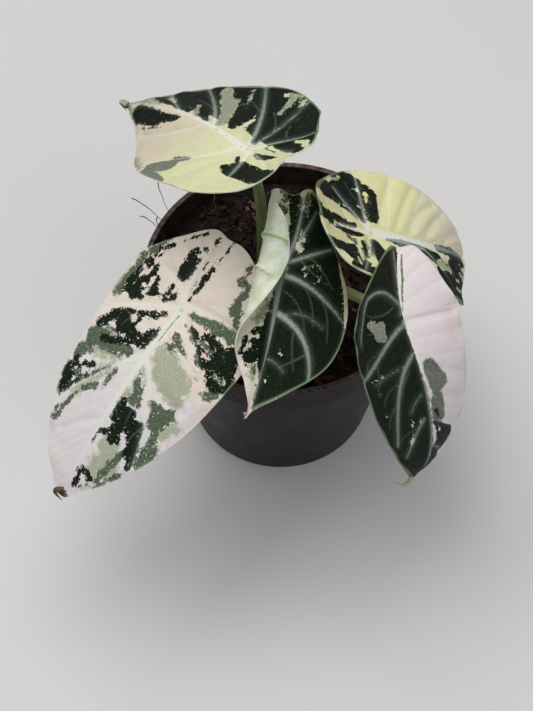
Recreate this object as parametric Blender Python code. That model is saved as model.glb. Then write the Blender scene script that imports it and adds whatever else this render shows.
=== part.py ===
"""Potted alocasia: a plastic nursery pot, bark mix, a short crown, and five leaves,
each a stalk and a shield-shaped blade. Metres, +Z up, origin at the middle of the
pot's flat underside. The front of the plant faces -Y."""

import math

import bmesh
import bpy
import numpy as np
from mathutils import Vector

GAP = 0.0003  # between pieces that touch
EDGE = 0.0006  # small bevels
MERGE = 1e-6
SMOOTH_UP_TO = math.radians(35)

# Pot: a tapered wall, a wider collar and a bead round the rim
RIM_RADIUS = 0.060
POT_HEIGHT = 0.100
BASE_RADIUS = 0.042
WALL = 0.0015
FLOOR = 0.002
FOOT_BEVEL = 0.001
COLLAR_HEIGHT = 0.015
COLLAR_STEP = 0.0025
BEAD_OUT = 0.0009
BEAD_HEIGHT = 0.0022
DRAIN_COUNT = 8
DRAIN_RADIUS = 0.004
DRAIN_RING = 0.030
DRAIN_SIDES = 16
POT_SIDES = 64

# Bark mix. Each wave of its surface: share of the height, then waves per metre in X and Y
SOIL_LEVEL = 0.088
SOIL_LUMP = 0.0014
SOIL_FLAT_EDGE = 0.004
SOIL_RINGS = 9
SOIL_WAVES = ((0.5, 82, 75), (0.3, 53, -97), (0.2, 111, 56))

# Crown, the short stem that the leaf stalks grow from
CROWN_AT = (-0.006, -0.004)
CROWN_RADIUS = 0.009
CROWN_TOP = 0.094
CROWN_FOOT = 0.062
CROWN_ROUND = 0.012
CROWN_ARC_STEPS = 4
CROWN_SIDES = 24
HOLE_SIDES = 32

# Leaf stalks, which stand on a ring of this radius on the crown
STALK_RING = 0.0056
STALK_FOOT_RADIUS = 0.0027
STALK_TIP_RADIUS = 0.0020
STALK_SIDES = 10
STALK_STEPS = 14

# Blades: full thickness at the midrib and at the margin, and how wide the midrib swells
MIDRIB_THICKNESS = 0.0022
MARGIN_THICKNESS = 0.0009
MIDRIB_WIDTH = 0.0030
BLADE_STATIONS = 26
BLADE_STRIPS = 6

# The lobes' reach past the notch: its size, and the angles where it sets in and fades out
LOBE_SIZE = 1.6
LOBE_START = 0.28
LOBE_FADE = 0.9

# How finely the blade's curves are worked out
SPINE_POINTS = 200
SPINE_PAST_NOTCH = 1.8
SPINE_PAST_TIP = 1.02
SLOPE_STEPS = 48
PROBE = 0.0002
SMALLEST_FACE = 1e-12

# Each leaf. joint is where the stalk meets the blade's upper surface, front and back are the
# lengths from there to the tip and to the notch. heading is the way the tip points and pitch
# its droop at the joint; bend, sweep and twist are how much droop, heading and roll change on
# the way to the tip or to the notch. A half slopes down from the midrib by fold, which changes
# by turn towards the tip and by curl towards the margin, and it rolls up over the blade by
# roll, less so by roll_fade towards the tip and the notch. lobe is how far the half reaches
# back past the notch. widths run from the notch to the tip at even steps. The stalk starts at
# foot_angle round the crown; stalk_rise and stalk_reach are the pulls of its curve at its
# foot and at the joint. Lengths in metres, angles in degrees.
LEAVES = {
    "back_left": {
        "joint": (-0.0140, -0.0045, 0.1920),
        "front": 0.087,
        "back": 0.022,
        "heading": 128,
        "pitch": 13,
        "bank": 3,
        "twist": -1,
        "bend": (30, -33),
        "sweep": (12, -14),
        "left": {
            "fold": 16.5,
            "turn": 33.5,
            "curl": -35.5,
            "lobe": 0.18,
            "widths": (0.0085, 0.0180, 0.0255, 0.0310, 0.0345, 0.0300, 0.0150, 0.0030),
        },
        "right": {
            "fold": 21,
            "turn": 4,
            "curl": -36.5,
            "lobe": 0.16,
            "widths": (0.0085, 0.0180, 0.0265, 0.0330, 0.0380, 0.0280, 0.0165, 0.0065),
        },
        "foot_angle": 112,
        "stalk_rise": (0.000, 0.000, 0.050),
        "stalk_reach": (0.006, 0.004, -0.035),
    },
    "front_left": {
        "joint": (-0.0401, -0.0470, 0.1440),
        "front": 0.0905,
        "back": 0.0335,
        "heading": 224.5,
        "pitch": 25,
        "bank": 0,
        "twist": 1,
        "bend": (18.5, -1),
        "sweep": (9, -12),
        "left": {
            "fold": 7.5,
            "turn": -4,
            "curl": 24,
            "lobe": 0.04,
            "widths": (0.0080, 0.0180, 0.0275, 0.0335, 0.0345, 0.0300, 0.0190, 0.0065),
        },
        "right": {
            "fold": 8.5,
            "turn": 0.5,
            "curl": 8,
            "lobe": 0.09,
            "widths": (0.0080, 0.0175, 0.0280, 0.0345, 0.0335, 0.0310, 0.0220, 0.0090),
        },
        "foot_angle": 212,
        "stalk_rise": (-0.002, -0.002, 0.022),
        "stalk_reach": (0.012, 0.014, -0.020),
    },
    "centre": {
        "joint": (0.0009, -0.0379, 0.1600),
        "front": 0.0605,
        "back": 0.0290,
        "heading": 260,
        "pitch": 24.5,
        "bank": -5,
        "twist": 4,
        "bend": (-0.5, 2),
        "sweep": (-14.5, -7),
        "left": {
            "fold": 16,
            "turn": -33,
            "curl": 36.5,
            "lobe": 0.19,
            "widths": (0.0090, 0.0165, 0.0210, 0.0270, 0.0310, 0.0260, 0.0125, 0.0020),
        },
        "right": {
            "fold": 38,
            "turn": 51,
            "curl": 0,
            "roll": 255,
            "roll_fade": (0.41, -0.12),
            "lobe": 0.13,
            "widths": (0.0070, 0.0150, 0.0225, 0.0270, 0.0250, 0.0190, 0.0115, 0.0045),
        },
        "foot_angle": 276,
        "stalk_rise": (0.000, -0.001, 0.022),
        "stalk_reach": (0.000, 0.012, -0.026),
    },
    "right": {
        "joint": (0.0350, -0.0156, 0.1520),
        "front": 0.075,
        "back": 0.029,
        "heading": 11.5,
        "pitch": 20,
        "bank": 0,
        "twist": 4,
        "bend": (68, -45),
        "sweep": (-10, 7.5),
        "left": {
            "fold": -8.5,
            "turn": -7.5,
            "curl": 6,
            "lobe": 0.22,
            "widths": (0.0080, 0.0165, 0.0245, 0.0290, 0.0285, 0.0225, 0.0155, 0.0070),
        },
        "right": {
            "fold": -8,
            "turn": 1.5,
            "curl": 0,
            "lobe": 0.15,
            "widths": (0.0070, 0.0150, 0.0215, 0.0245, 0.0235, 0.0205, 0.0140, 0.0055),
        },
        "foot_angle": 46,
        "stalk_rise": (0.006, 0.001, 0.026),
        "stalk_reach": (-0.010, 0.010, -0.020),
    },
    "front_right": {
        "joint": (0.0450, -0.0658, 0.1650),
        "front": 0.0945,
        "back": 0.029,
        "heading": -73,
        "pitch": 31.5,
        "bank": 10,
        "twist": 1.5,
        "bend": (84, 16),
        "sweep": (27, 25.5),
        "left": {
            "fold": 19,
            "turn": -1.5,
            "curl": 20.5,
            "lobe": 0.11,
            "widths": (0.0065, 0.0140, 0.0200, 0.0250, 0.0255, 0.0220, 0.0150, 0.0060),
        },
        "right": {
            "fold": 43,
            "turn": -2,
            "curl": 9,
            "lobe": 0.10,
            "widths": (0.0055, 0.0125, 0.0195, 0.0255, 0.0280, 0.0230, 0.0135, 0.0045),
        },
        "foot_angle": 338,
        "stalk_rise": (0.006, 0.000, 0.026),
        "stalk_reach": (-0.012, 0.020, -0.016),
    },
}

# Colour and roughness of each material
FINISHES = {
    "pot_plastic": ((0.075, 0.055, 0.06), 0.6),
    "bark_mix": ((0.045, 0.022, 0.014), 0.95),
    "crown_skin": ((0.12, 0.10, 0.045), 0.7),
    "stalk_green": ((0.16, 0.20, 0.07), 0.45),
    "blade_back_left": ((0.55, 0.57, 0.36), 0.45),
    "blade_front_left": ((0.62, 0.57, 0.50), 0.45),
    "blade_centre": ((0.03, 0.07, 0.025), 0.45),
    "blade_right": ((0.60, 0.58, 0.36), 0.45),
    "blade_front_right": ((0.30, 0.32, 0.27), 0.45),
}


def clear_scene():
    for obj in list(bpy.data.objects):
        bpy.data.objects.remove(obj, do_unlink=True)


def material(name):
    colour, roughness = FINISHES[name]
    mat = bpy.data.materials.new(name)
    mat.use_nodes = True
    shader = mat.node_tree.nodes["Principled BSDF"]
    shader.inputs["Base Color"].default_value = (*colour, 1)
    shader.inputs["Roughness"].default_value = roughness
    shader.inputs["Metallic"].default_value = 0
    return mat


def add_object(name, points, faces, mat):
    mesh = bpy.data.meshes.new(name)
    mesh.from_pydata([tuple(map(float, p)) for p in points], [], faces)
    bm = bmesh.new()
    bm.from_mesh(mesh)
    bmesh.ops.remove_doubles(bm, verts=bm.verts, dist=MERGE)
    bmesh.ops.recalc_face_normals(bm, faces=bm.faces)
    bm.to_mesh(mesh)
    bm.free()
    mesh.shade_smooth()
    mesh.set_sharp_from_angle(angle=SMOOTH_UP_TO)
    mesh.materials.append(mat)
    obj = bpy.data.objects.new(name, mesh)
    bpy.context.collection.objects.link(obj)
    return obj


def cutter(obj):
    obj.hide_render = True
    obj.display_type = "WIRE"
    return obj


def cut(obj, tool):
    boolean = obj.modifiers.new("cut " + tool.name, "BOOLEAN")
    boolean.operation = "DIFFERENCE"
    boolean.solver = "EXACT"
    boolean.object = tool


def turned_faces(rings, sides):
    """Quads between neighbouring rings, each a run of points round the axis."""
    faces = []
    for i in range(rings - 1):
        for j in range(sides):
            k = (j + 1) % sides
            faces.append((i * sides + j, i * sides + k, (i + 1) * sides + k, (i + 1) * sides + j))
    return faces


def turned_points(profile, sides, centre=(0, 0)):
    angles = 2 * math.pi * np.arange(sides) / sides
    r = np.array([p[0] for p in profile])[:, None]
    z = np.array([p[1] for p in profile])[:, None]
    x = centre[0] + r * np.cos(angles)
    y = centre[1] + r * np.sin(angles)
    return np.stack([x, y, z + 0 * x], -1).reshape(-1, 3)


def cylinder(name, centre, radius, low, high, sides, mat):
    profile = [(0, low), (radius, low), (radius, high), (0, high)]
    return add_object(name, turned_points(profile, sides, centre), turned_faces(4, sides), mat)


def wall_radius(z):
    """Outer radius of the tapered wall below the collar."""
    top = RIM_RADIUS - BEAD_OUT - COLLAR_STEP
    return BASE_RADIUS + (top - BASE_RADIUS) * z / (POT_HEIGHT - COLLAR_HEIGHT)


def make_pot(mat):
    collar_foot = POT_HEIGHT - COLLAR_HEIGHT
    collar = RIM_RADIUS - BEAD_OUT
    step_in = wall_radius(collar_foot)
    outer = [
        (0, 0),
        (BASE_RADIUS - FOOT_BEVEL, 0),
        (BASE_RADIUS, FOOT_BEVEL),
        (step_in, collar_foot),
        (collar - EDGE, collar_foot + 2 * EDGE),
        (collar, POT_HEIGHT - BEAD_HEIGHT - EDGE),
        (RIM_RADIUS, POT_HEIGHT - BEAD_HEIGHT),
        (RIM_RADIUS, POT_HEIGHT - EDGE),
        (RIM_RADIUS - EDGE, POT_HEIGHT),
    ]
    inner = [
        (collar - WALL + EDGE, POT_HEIGHT),
        (collar - WALL, POT_HEIGHT - EDGE),
        (collar - WALL, collar_foot + 1.5 * WALL),
        (step_in - WALL, collar_foot + 0.5 * WALL),
        (wall_radius(FLOOR) - WALL, FLOOR + FOOT_BEVEL),
        (wall_radius(FLOOR) - WALL - FOOT_BEVEL, FLOOR),
        (0, FLOOR),
    ]
    profile = outer + inner
    points = turned_points(profile, POT_SIDES)
    pot = add_object("pot", points, turned_faces(len(profile), POT_SIDES), mat)
    for i in range(DRAIN_COUNT):
        angle = 2 * math.pi * (i + 0.5) / DRAIN_COUNT
        centre = (DRAIN_RING * math.cos(angle), DRAIN_RING * math.sin(angle))
        name = f"drain_cutter_{i + 1}"
        cut(pot, cutter(cylinder(name, centre, DRAIN_RADIUS, -FLOOR, 2 * FLOOR, DRAIN_SIDES, mat)))
    return inner


def lumps(x, y):
    """Uneven surface of the bark mix: crossed waves, each with its share of the height."""
    height = 0
    for share, in_x, in_y in SOIL_WAVES:
        height = height + share * np.sin(2 * math.pi * (in_x * x + in_y * y))
    return SOIL_LUMP * height


def make_soil(inner, mat):
    """Fills the pot up to SOIL_LEVEL, one gap clear of its inner wall."""
    side = [(max(r - GAP, 0), z + GAP) for r, z in inner if z < SOIL_LEVEL - GAP]
    edge = side[0][0]
    top_rings = [(edge * i / SOIL_RINGS, SOIL_LEVEL) for i in range(SOIL_RINGS + 1)]
    profile = top_rings + side
    points = turned_points(profile, POT_SIDES)
    top = np.arange(len(points)) < len(top_rings) * POT_SIDES
    fall = np.clip((edge - np.hypot(points[:, 0], points[:, 1])) / SOIL_FLAT_EDGE, 0, 1)
    points[top, 2] += (lumps(points[:, 0], points[:, 1]) * fall)[top]
    soil = add_object("soil", points, turned_faces(len(profile), POT_SIDES), mat)
    radius = CROWN_RADIUS + GAP
    low = CROWN_FOOT - GAP
    cut(soil, cutter(cylinder("crown_cutter", CROWN_AT, radius, low, POT_HEIGHT, HOLE_SIDES, mat)))


def make_crown(mat):
    """A stub with a rounded foot, which stands in its hole in the bark mix."""
    arc = [math.pi / 2 * i / CROWN_ARC_STEPS for i in range(CROWN_ARC_STEPS + 1)]
    foot = [(CROWN_RADIUS * math.sin(a), CROWN_FOOT + CROWN_ROUND * (1 - math.cos(a))) for a in arc]
    top = [(CROWN_RADIUS, CROWN_TOP - EDGE), (CROWN_RADIUS - EDGE, CROWN_TOP), (0, CROWN_TOP)]
    profile = foot + top
    points = turned_points(profile, CROWN_SIDES, CROWN_AT)
    add_object("crown", points, turned_faces(len(profile), CROWN_SIDES), mat)


def spine(leaf, along):
    """Midrib and its frame at signed distances from the joint: points, then the directions
    towards the tip, to the left and up. The path is the running sum of the direction."""
    front = along > 0
    step = np.where(front, along / leaf["front"], along / leaf["back"])
    bend = np.where(front, leaf["bend"][0], leaf["bend"][1]) * step
    sweep = np.where(front, leaf["sweep"][0], leaf["sweep"][1]) * step
    heading = np.radians(leaf["heading"] + sweep)
    droop = np.radians(leaf["pitch"] + bend)
    bank = np.radians(leaf["bank"] + np.where(front, leaf["twist"] * step, 0))[:, None]
    flat = np.stack([np.cos(heading), np.sin(heading), 0 * heading], -1)
    ahead = flat * np.cos(droop)[:, None] - np.outer(np.sin(droop), (0, 0, 1))
    level = np.stack([-np.sin(heading), np.cos(heading), 0 * heading], -1)
    rise = np.cross(ahead, level)
    left = level * np.cos(bank) + rise * np.sin(bank)
    up = rise * np.cos(bank) - level * np.sin(bank)
    moves = np.diff(along)[:, None] * (ahead[1:] + ahead[:-1]) / 2
    path = np.concatenate([np.zeros((1, 3)), np.cumsum(moves, 0)])
    zero = [np.interp(0, along, path[:, i]) for i in range(3)]
    return path - zero + leaf["joint"], ahead, left, up


def smooth_widths(widths, angle):
    """Half width at each angle, 0 at the notch and pi at the tip: a Catmull-Rom curve
    through evenly spaced values."""
    knots = np.concatenate([[-widths[0], 0], widths, [0, -widths[-1]]])
    place = np.clip(angle / math.pi, 0, 1) * (len(widths) + 1)
    i = np.clip(place.astype(int), 0, len(widths))
    t = place - i
    a, b, c, d = knots[i], knots[i + 1], knots[i + 2], knots[i + 3]
    curve = b + t * (c - a) / 2 + t**2 * (a - 2.5 * b + 2 * c - d / 2)
    return np.maximum(curve + t**3 * (1.5 * (b - c) + (d - a) / 2), 0)


def margin(leaf, half, angle):
    """Flat outline: distance along the midrib line, the same for the margin, and the half
    width there. The two lobes reach back past the notch."""
    level = -np.cos(angle)
    axis = np.where(level > 0, level * leaf["front"], level * leaf["back"])
    set_in = 1 - np.exp(-((angle / LOBE_START) ** 2))
    reach = LOBE_SIZE * half["lobe"] * set_in * np.exp(-((angle / LOBE_FADE) ** 2))
    edge = np.where(level > 0, axis, axis * (1 + reach))
    return axis, edge, smooth_widths(np.array(half["widths"]), angle)


def slope(leaf, half, along, out):
    """How far a point moves sideways and down when the flat half is bent to its slopes: the
    sum of the cosine and sine of the slope from the midrib out to the point."""
    share = np.linspace(0, 1, SLOPE_STEPS + 1)
    x = out[..., None] * share / max(half["widths"])
    a = along[..., None]
    front = a > 0
    fade = half.get("roll_fade", (0, 0))
    left_of_roll = np.where(front, 1 - fade[0] * a / leaf["front"], 1 + fade[1] * a / leaf["back"])
    rolled = half.get("roll", 0) * left_of_roll * x**2 * (3 - 2 * np.minimum(x, 1))
    angle = np.radians(half["fold"] + half["turn"] * a / leaf["front"] + half["curl"] * x - rolled)
    sides, falls = np.cos(angle), np.sin(angle)
    sideways = out * (sides[..., 1:] + sides[..., :-1]).mean(-1) / 2
    down = out * (falls[..., 1:] + falls[..., :-1]).mean(-1) / 2
    return sideways, down


def bent(leaf, side, along, out):
    """Upper surface of the blade at flat places (along, out) on one half."""
    half = leaf[side]
    ends = (-SPINE_PAST_NOTCH * leaf["back"], SPINE_PAST_TIP * leaf["front"])
    fine = np.sort(np.append(np.linspace(*ends, SPINE_POINTS), 0))
    path, _, left, up = spine(leaf, fine)
    sideways, down = slope(leaf, half, along, out)
    sign = 1 if side == "left" else -1

    def at(values):
        return np.stack([np.interp(along, fine, values[:, i]) for i in range(3)], -1)

    return at(path) + sign * at(left) * sideways[..., None] - at(up) * down[..., None]


def normals(leaf, side, along, out):
    """Unit upward normals, from small steps along the blade and towards its left."""
    sign = 1 if side == "left" else -1
    ahead = bent(leaf, side, along + PROBE, out) - bent(leaf, side, along - PROBE, out)
    across = sign * (bent(leaf, side, along, out + PROBE) - bent(leaf, side, along, out))
    normal = np.cross(ahead, across)
    return normal / np.linalg.norm(normal, axis=-1, keepdims=True)


def blade_grids(leaf):
    """Upper and lower surface of the whole blade, as grids from the right margin through
    the midrib to the left margin. Across the midrib the two normals are averaged."""
    angle = np.linspace(0, math.pi, BLADE_STATIONS)
    share = np.linspace(0, 1, BLADE_STRIPS + 1)
    tops, outs, ups = [], [], []
    for side in ("right", "left"):
        axis, edge, width = margin(leaf, leaf[side], angle)
        along = axis[:, None] * (1 - share) + edge[:, None] * share
        out = width[:, None] * share
        tops.append(bent(leaf, side, along, out))
        ups.append(normals(leaf, side, along, out))
        outs.append(out)
    middle = ups[0][:, 0] + ups[1][:, 0]
    ups[1][:, 0] = middle / np.linalg.norm(middle, axis=-1, keepdims=True)
    ups[0][[0, -1]] = ups[1][[0, -1]] = ups[1][[0, -1], :1]
    top = np.concatenate([tops[0][:, :0:-1], tops[1]], 1)
    out = np.concatenate([outs[0][:, :0:-1], outs[1]], 1)
    up = np.concatenate([ups[0][:, :0:-1], ups[1]], 1)
    return top, top - up * thickness(out)[..., None]


def thickness(away):
    extra = MIDRIB_THICKNESS - MARGIN_THICKNESS
    return MARGIN_THICKNESS + extra * np.exp(-((away / MIDRIB_WIDTH) ** 2))


def make_blade(name, leaf, mat):
    top, bottom = blade_grids(leaf)
    rows, columns = top.shape[:2]
    points = np.concatenate([top.reshape(-1, 3), bottom.reshape(-1, 3)])
    below = rows * columns
    faces = []
    for i in range(rows - 1):
        for j in range(columns - 1):
            a = i * columns + j
            b, c, d = a + 1, a + columns + 1, a + columns
            halves = ((a, b, c), (a, c, d)) if j < BLADE_STRIPS else ((a, b, d), (b, c, d))
            for half in halves:
                faces.append(half)
                faces.append(tuple(below + k for k in reversed(half)))
        for j in (0, columns - 1):
            a, d = i * columns + j, (i + 1) * columns + j
            faces.append((a, d, below + d))
            faces.append((a, below + d, below + a))
    faces = [f for f in faces if distinct(points, f)]
    return add_object("blade_" + name, points, faces, mat)


def distinct(points, face):
    """Leaves out the faces that shrink to a line at the notch and at the tip."""
    corners = points[list(face)]
    return np.linalg.norm(np.cross(corners[1] - corners[0], corners[2] - corners[0])) > SMALLEST_FACE


def seat(leaf, radius, sides):
    """Points round the joint on the blade's underside, one gap clear of it."""
    ring = []
    fine = np.array([-PROBE, 0, PROBE])
    up = spine(leaf, fine)[3][1]
    for j in range(sides):
        angle = 2 * math.pi * j / sides
        along = np.array([radius * math.cos(angle)])
        out = radius * math.sin(angle)
        side = "left" if out >= 0 else "right"
        point = bent(leaf, side, along, np.array([abs(out)]))[0]
        ring.append(point - up * (thickness(abs(out)) + 2 * GAP))
    return np.array(ring)


def stalk_path(leaf, end):
    """A cubic Bezier curve from the crown to the blade."""
    angle = math.radians(leaf["foot_angle"])
    x = CROWN_AT[0] + STALK_RING * math.cos(angle)
    y = CROWN_AT[1] + STALK_RING * math.sin(angle)
    foot = np.array([x, y, CROWN_TOP + GAP])
    first = foot + np.array(leaf["stalk_rise"])
    last = end + np.array(leaf["stalk_reach"])
    t = np.linspace(0, 1, STALK_STEPS + 1)[:, None]
    s = 1 - t
    return s**3 * foot + 3 * s**2 * t * first + 3 * s * t**2 * last + t**3 * end


def make_stalk(name, leaf, mat):
    """A tapered tube, flat at its foot and shaped to the blade at its end."""
    ring = seat(leaf, STALK_TIP_RADIUS, STALK_SIDES)
    end = ring.mean(0)
    path = stalk_path(leaf, end)
    ahead = np.gradient(path, axis=0)
    ahead[0] = (0, 0, 1)
    ahead /= np.linalg.norm(ahead, axis=1, keepdims=True)
    side = Vector(np.cross((0, 1, 0), ahead[0]))
    around = 2 * math.pi * np.arange(STALK_SIDES) / STALK_SIDES
    rings = []
    for k in range(STALK_STEPS):
        axis = Vector(ahead[k])
        side = (side - axis * side.dot(axis)).normalized()
        other = axis.cross(side)
        radius = STALK_FOOT_RADIUS + (STALK_TIP_RADIUS - STALK_FOOT_RADIUS) * k / STALK_STEPS
        circle = np.outer(np.cos(around), side) + np.outer(np.sin(around), other)
        rings.append(path[k] + radius * circle)
    rings.append(matched(ring, rings[-1], end))
    points = np.concatenate(rings + [[path[0], end]])
    faces = turned_faces(STALK_STEPS + 1, STALK_SIDES)
    end_centre = len(points) - 1
    foot_centre = end_centre - 1
    top = STALK_STEPS * STALK_SIDES
    for j in range(STALK_SIDES):
        k = (j + 1) % STALK_SIDES
        faces.append((foot_centre, k, j))
        faces.append((end_centre, top + j, top + k))
    return add_object("stalk_" + name, points, faces, mat)


def matched(ring, below, end):
    """The ring turned round, and reversed if need be, to lie closest to the one below it."""
    shifted = below - below.mean(0) + end
    choices = [np.roll(r, k, axis=0) for r in (ring, ring[::-1]) for k in range(len(ring))]
    return min(choices, key=lambda r: ((r - shifted) ** 2).sum())


def main():
    clear_scene()
    inner = make_pot(material("pot_plastic"))
    make_soil(inner, material("bark_mix"))
    make_crown(material("crown_skin"))
    stalk_green = material("stalk_green")
    for name, leaf in LEAVES.items():
        make_stalk(name, leaf, stalk_green)
        make_blade(name, leaf, material("blade_" + name))


main()
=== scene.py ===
import math

import bmesh
import bpy
import numpy as np
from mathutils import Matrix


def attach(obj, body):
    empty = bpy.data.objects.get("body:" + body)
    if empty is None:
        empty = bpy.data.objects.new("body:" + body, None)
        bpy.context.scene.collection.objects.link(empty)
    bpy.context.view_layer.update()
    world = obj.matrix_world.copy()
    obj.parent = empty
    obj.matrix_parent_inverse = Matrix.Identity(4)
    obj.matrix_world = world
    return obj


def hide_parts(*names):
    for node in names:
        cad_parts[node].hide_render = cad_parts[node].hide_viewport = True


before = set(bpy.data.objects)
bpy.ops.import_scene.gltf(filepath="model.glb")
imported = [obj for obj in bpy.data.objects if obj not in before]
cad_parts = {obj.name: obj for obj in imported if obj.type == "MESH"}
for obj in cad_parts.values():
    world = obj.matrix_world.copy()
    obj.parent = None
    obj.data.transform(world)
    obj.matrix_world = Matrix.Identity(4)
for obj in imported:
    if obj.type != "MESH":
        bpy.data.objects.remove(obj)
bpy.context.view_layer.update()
print("frame loaded")


# Small helpers

def addMesh(name, points, faces, material):
    mesh = bpy.data.meshes.new(name)
    faces = faces.tolist() if isinstance(faces, np.ndarray) else faces
    mesh.from_pydata(np.asarray(points, float).tolist(), [], faces)
    mesh.shade_smooth()
    mesh.materials.append(material)
    obj = bpy.data.objects.new(name, mesh)
    bpy.context.scene.collection.objects.link(obj)
    return obj


def setFloat(obj, name, values):
    layer = obj.data.attributes.new(name, "FLOAT", "POINT")
    layer.data.foreach_set("value", np.asarray(values, np.float32).ravel())


def setVector(obj, name, values):
    layer = obj.data.attributes.new(name, "FLOAT_VECTOR", "POINT")
    layer.data.foreach_set("vector", np.asarray(values, np.float32).ravel())


def unit(v):
    return v / np.maximum(np.linalg.norm(v, axis=-1, keepdims=True), 1e-12)


def gridFaces(rows, columns, closeColumns=False):
    # quads between neighbouring points of a rows by columns grid
    index = np.arange(rows * columns).reshape(rows, columns)
    if closeColumns:
        index = np.concatenate([index, index[:, :1]], 1)
    quads = [index[:-1, :-1], index[:-1, 1:], index[1:, 1:], index[1:, :-1]]
    return np.stack(quads, -1).reshape(-1, 4)


def closedSheet(upper, lower):
    # both sides of a thin sheet, each a grid, joined by quads along the two long edges
    rows, columns = upper.shape[:2]
    count = rows * columns
    faces = gridFaces(rows, columns)
    index = np.arange(count).reshape(rows, columns)
    first, last = index[:, 0], index[:, -1]
    sideA = np.stack([first[:-1], first[1:], first[1:] + count, first[:-1] + count], -1)
    sideB = np.stack([last[1:], last[:-1], last[:-1] + count, last[1:] + count], -1)
    faces = np.concatenate([faces[:, ::-1], faces + count, sideA[:, ::-1], sideB[:, ::-1]])
    return np.concatenate([upper.reshape(-1, 3), lower.reshape(-1, 3)]), faces


def tube(path, radius, sides):
    # circle of the given radius carried along the path, kept from twisting by a fixed side direction
    ahead = unit(np.gradient(path, axis=0))
    side = unit(np.cross(ahead, (0.31, 0.93, 0.17)))
    other = np.cross(ahead, side)
    around = np.linspace(0, 2 * math.pi, sides, endpoint=False)[:, None]
    circle = np.cos(around) * side[:, None] + np.sin(around) * other[:, None]
    return path[:, None] + np.asarray(radius).reshape(-1, 1, 1) * circle


def tubeMesh(path, radius, sides):
    # the tube's points and faces, with both ends closed by fans
    rings = tube(path, radius, sides)
    rows = len(path)
    points = np.concatenate([rings.reshape(-1, 3), path[[0, -1]]])
    faces = gridFaces(rows, sides, True).tolist()
    start, end, last = rows * sides, rows * sides + 1, (rows - 1) * sides
    for j in range(sides):
        k = (j + 1) % sides
        faces.append((start, k, j))
        faces.append((end, last + j, last + k))
    return points, faces


# Blade shape: the same formulas and values as the solids, on a finer grid

bladeGrid = {"stations": 190, "strips": 66, "spinePoints": 400, "slopeSteps": 40, "probe": 0.0002}
lobeShape = {"size": 1.6, "start": 0.28, "fade": 0.9}
spinePast = {"notch": 1.8, "tip": 1.02}

blades = {
    "back_left": {
        "joint": (-0.0140, -0.0045, 0.1920), "front": 0.087, "back": 0.022, "heading": 128, "pitch": 13,
        "bank": 3, "twist": -1, "bend": (30, -33), "sweep": (12, -14),
        "left": {"fold": 16.5, "turn": 33.5, "curl": -35.5, "lobe": 0.18,
                 "widths": (0.0085, 0.0180, 0.0255, 0.0310, 0.0345, 0.0300, 0.0150, 0.0030)},
        "right": {"fold": 21, "turn": 4, "curl": -36.5, "lobe": 0.16,
                  "widths": (0.0085, 0.0180, 0.0265, 0.0330, 0.0380, 0.0280, 0.0165, 0.0065)},
        "footAngle": 112, "stalkRise": (0.000, 0.000, 0.050), "stalkReach": (0.006, 0.004, -0.035),
    },
    "front_left": {
        "joint": (-0.0401, -0.0470, 0.1440), "front": 0.0905, "back": 0.0335, "heading": 224.5, "pitch": 25,
        "bank": 0, "twist": 1, "bend": (18.5, -1), "sweep": (9, -12),
        "left": {"fold": 7.5, "turn": -4, "curl": 24, "lobe": 0.04,
                 "widths": (0.0080, 0.0180, 0.0275, 0.0335, 0.0345, 0.0300, 0.0190, 0.0065)},
        "right": {"fold": 8.5, "turn": 0.5, "curl": 8, "lobe": 0.09,
                  "widths": (0.0080, 0.0175, 0.0280, 0.0345, 0.0335, 0.0310, 0.0220, 0.0090)},
        "footAngle": 212, "stalkRise": (-0.002, -0.002, 0.022), "stalkReach": (0.012, 0.014, -0.020),
    },
    "centre": {
        "joint": (0.0009, -0.0379, 0.1600), "front": 0.0605, "back": 0.0290, "heading": 260, "pitch": 24.5,
        "bank": -5, "twist": 4, "bend": (-0.5, 2), "sweep": (-14.5, -7),
        "left": {"fold": 16, "turn": -33, "curl": 36.5, "lobe": 0.19,
                 "widths": (0.0090, 0.0165, 0.0210, 0.0270, 0.0310, 0.0260, 0.0125, 0.0020)},
        "right": {"fold": 38, "turn": 51, "curl": 0, "roll": 255, "rollFade": (0.41, -0.12), "lobe": 0.13,
                  "widths": (0.0070, 0.0150, 0.0225, 0.0270, 0.0250, 0.0190, 0.0115, 0.0045)},
        "footAngle": 276, "stalkRise": (0.000, -0.001, 0.022), "stalkReach": (0.000, 0.012, -0.026),
    },
    "right": {
        "joint": (0.0350, -0.0156, 0.1520), "front": 0.075, "back": 0.029, "heading": 11.5, "pitch": 20,
        "bank": 0, "twist": 4, "bend": (68, -45), "sweep": (-10, 7.5),
        "left": {"fold": -8.5, "turn": -7.5, "curl": 6, "lobe": 0.22,
                 "widths": (0.0080, 0.0165, 0.0245, 0.0290, 0.0285, 0.0225, 0.0155, 0.0070)},
        "right": {"fold": -8, "turn": 1.5, "curl": 0, "lobe": 0.15,
                  "widths": (0.0070, 0.0150, 0.0215, 0.0245, 0.0235, 0.0205, 0.0140, 0.0055)},
        "footAngle": 46, "stalkRise": (0.006, 0.001, 0.026), "stalkReach": (-0.010, 0.010, -0.020),
    },
    "front_right": {
        "joint": (0.0450, -0.0658, 0.1650), "front": 0.0945, "back": 0.029, "heading": -73, "pitch": 31.5,
        "bank": 10, "twist": 1.5, "bend": (84, 16), "sweep": (27, 25.5),
        "left": {"fold": 19, "turn": -1.5, "curl": 20.5, "lobe": 0.11,
                 "widths": (0.0065, 0.0140, 0.0200, 0.0250, 0.0255, 0.0220, 0.0150, 0.0060)},
        "right": {"fold": 43, "turn": -2, "curl": 9, "lobe": 0.10,
                  "widths": (0.0055, 0.0125, 0.0195, 0.0255, 0.0280, 0.0230, 0.0135, 0.0045)},
        "footAngle": 338, "stalkRise": (0.006, 0.000, 0.026), "stalkReach": (-0.012, 0.020, -0.016),
    },
}


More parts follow.
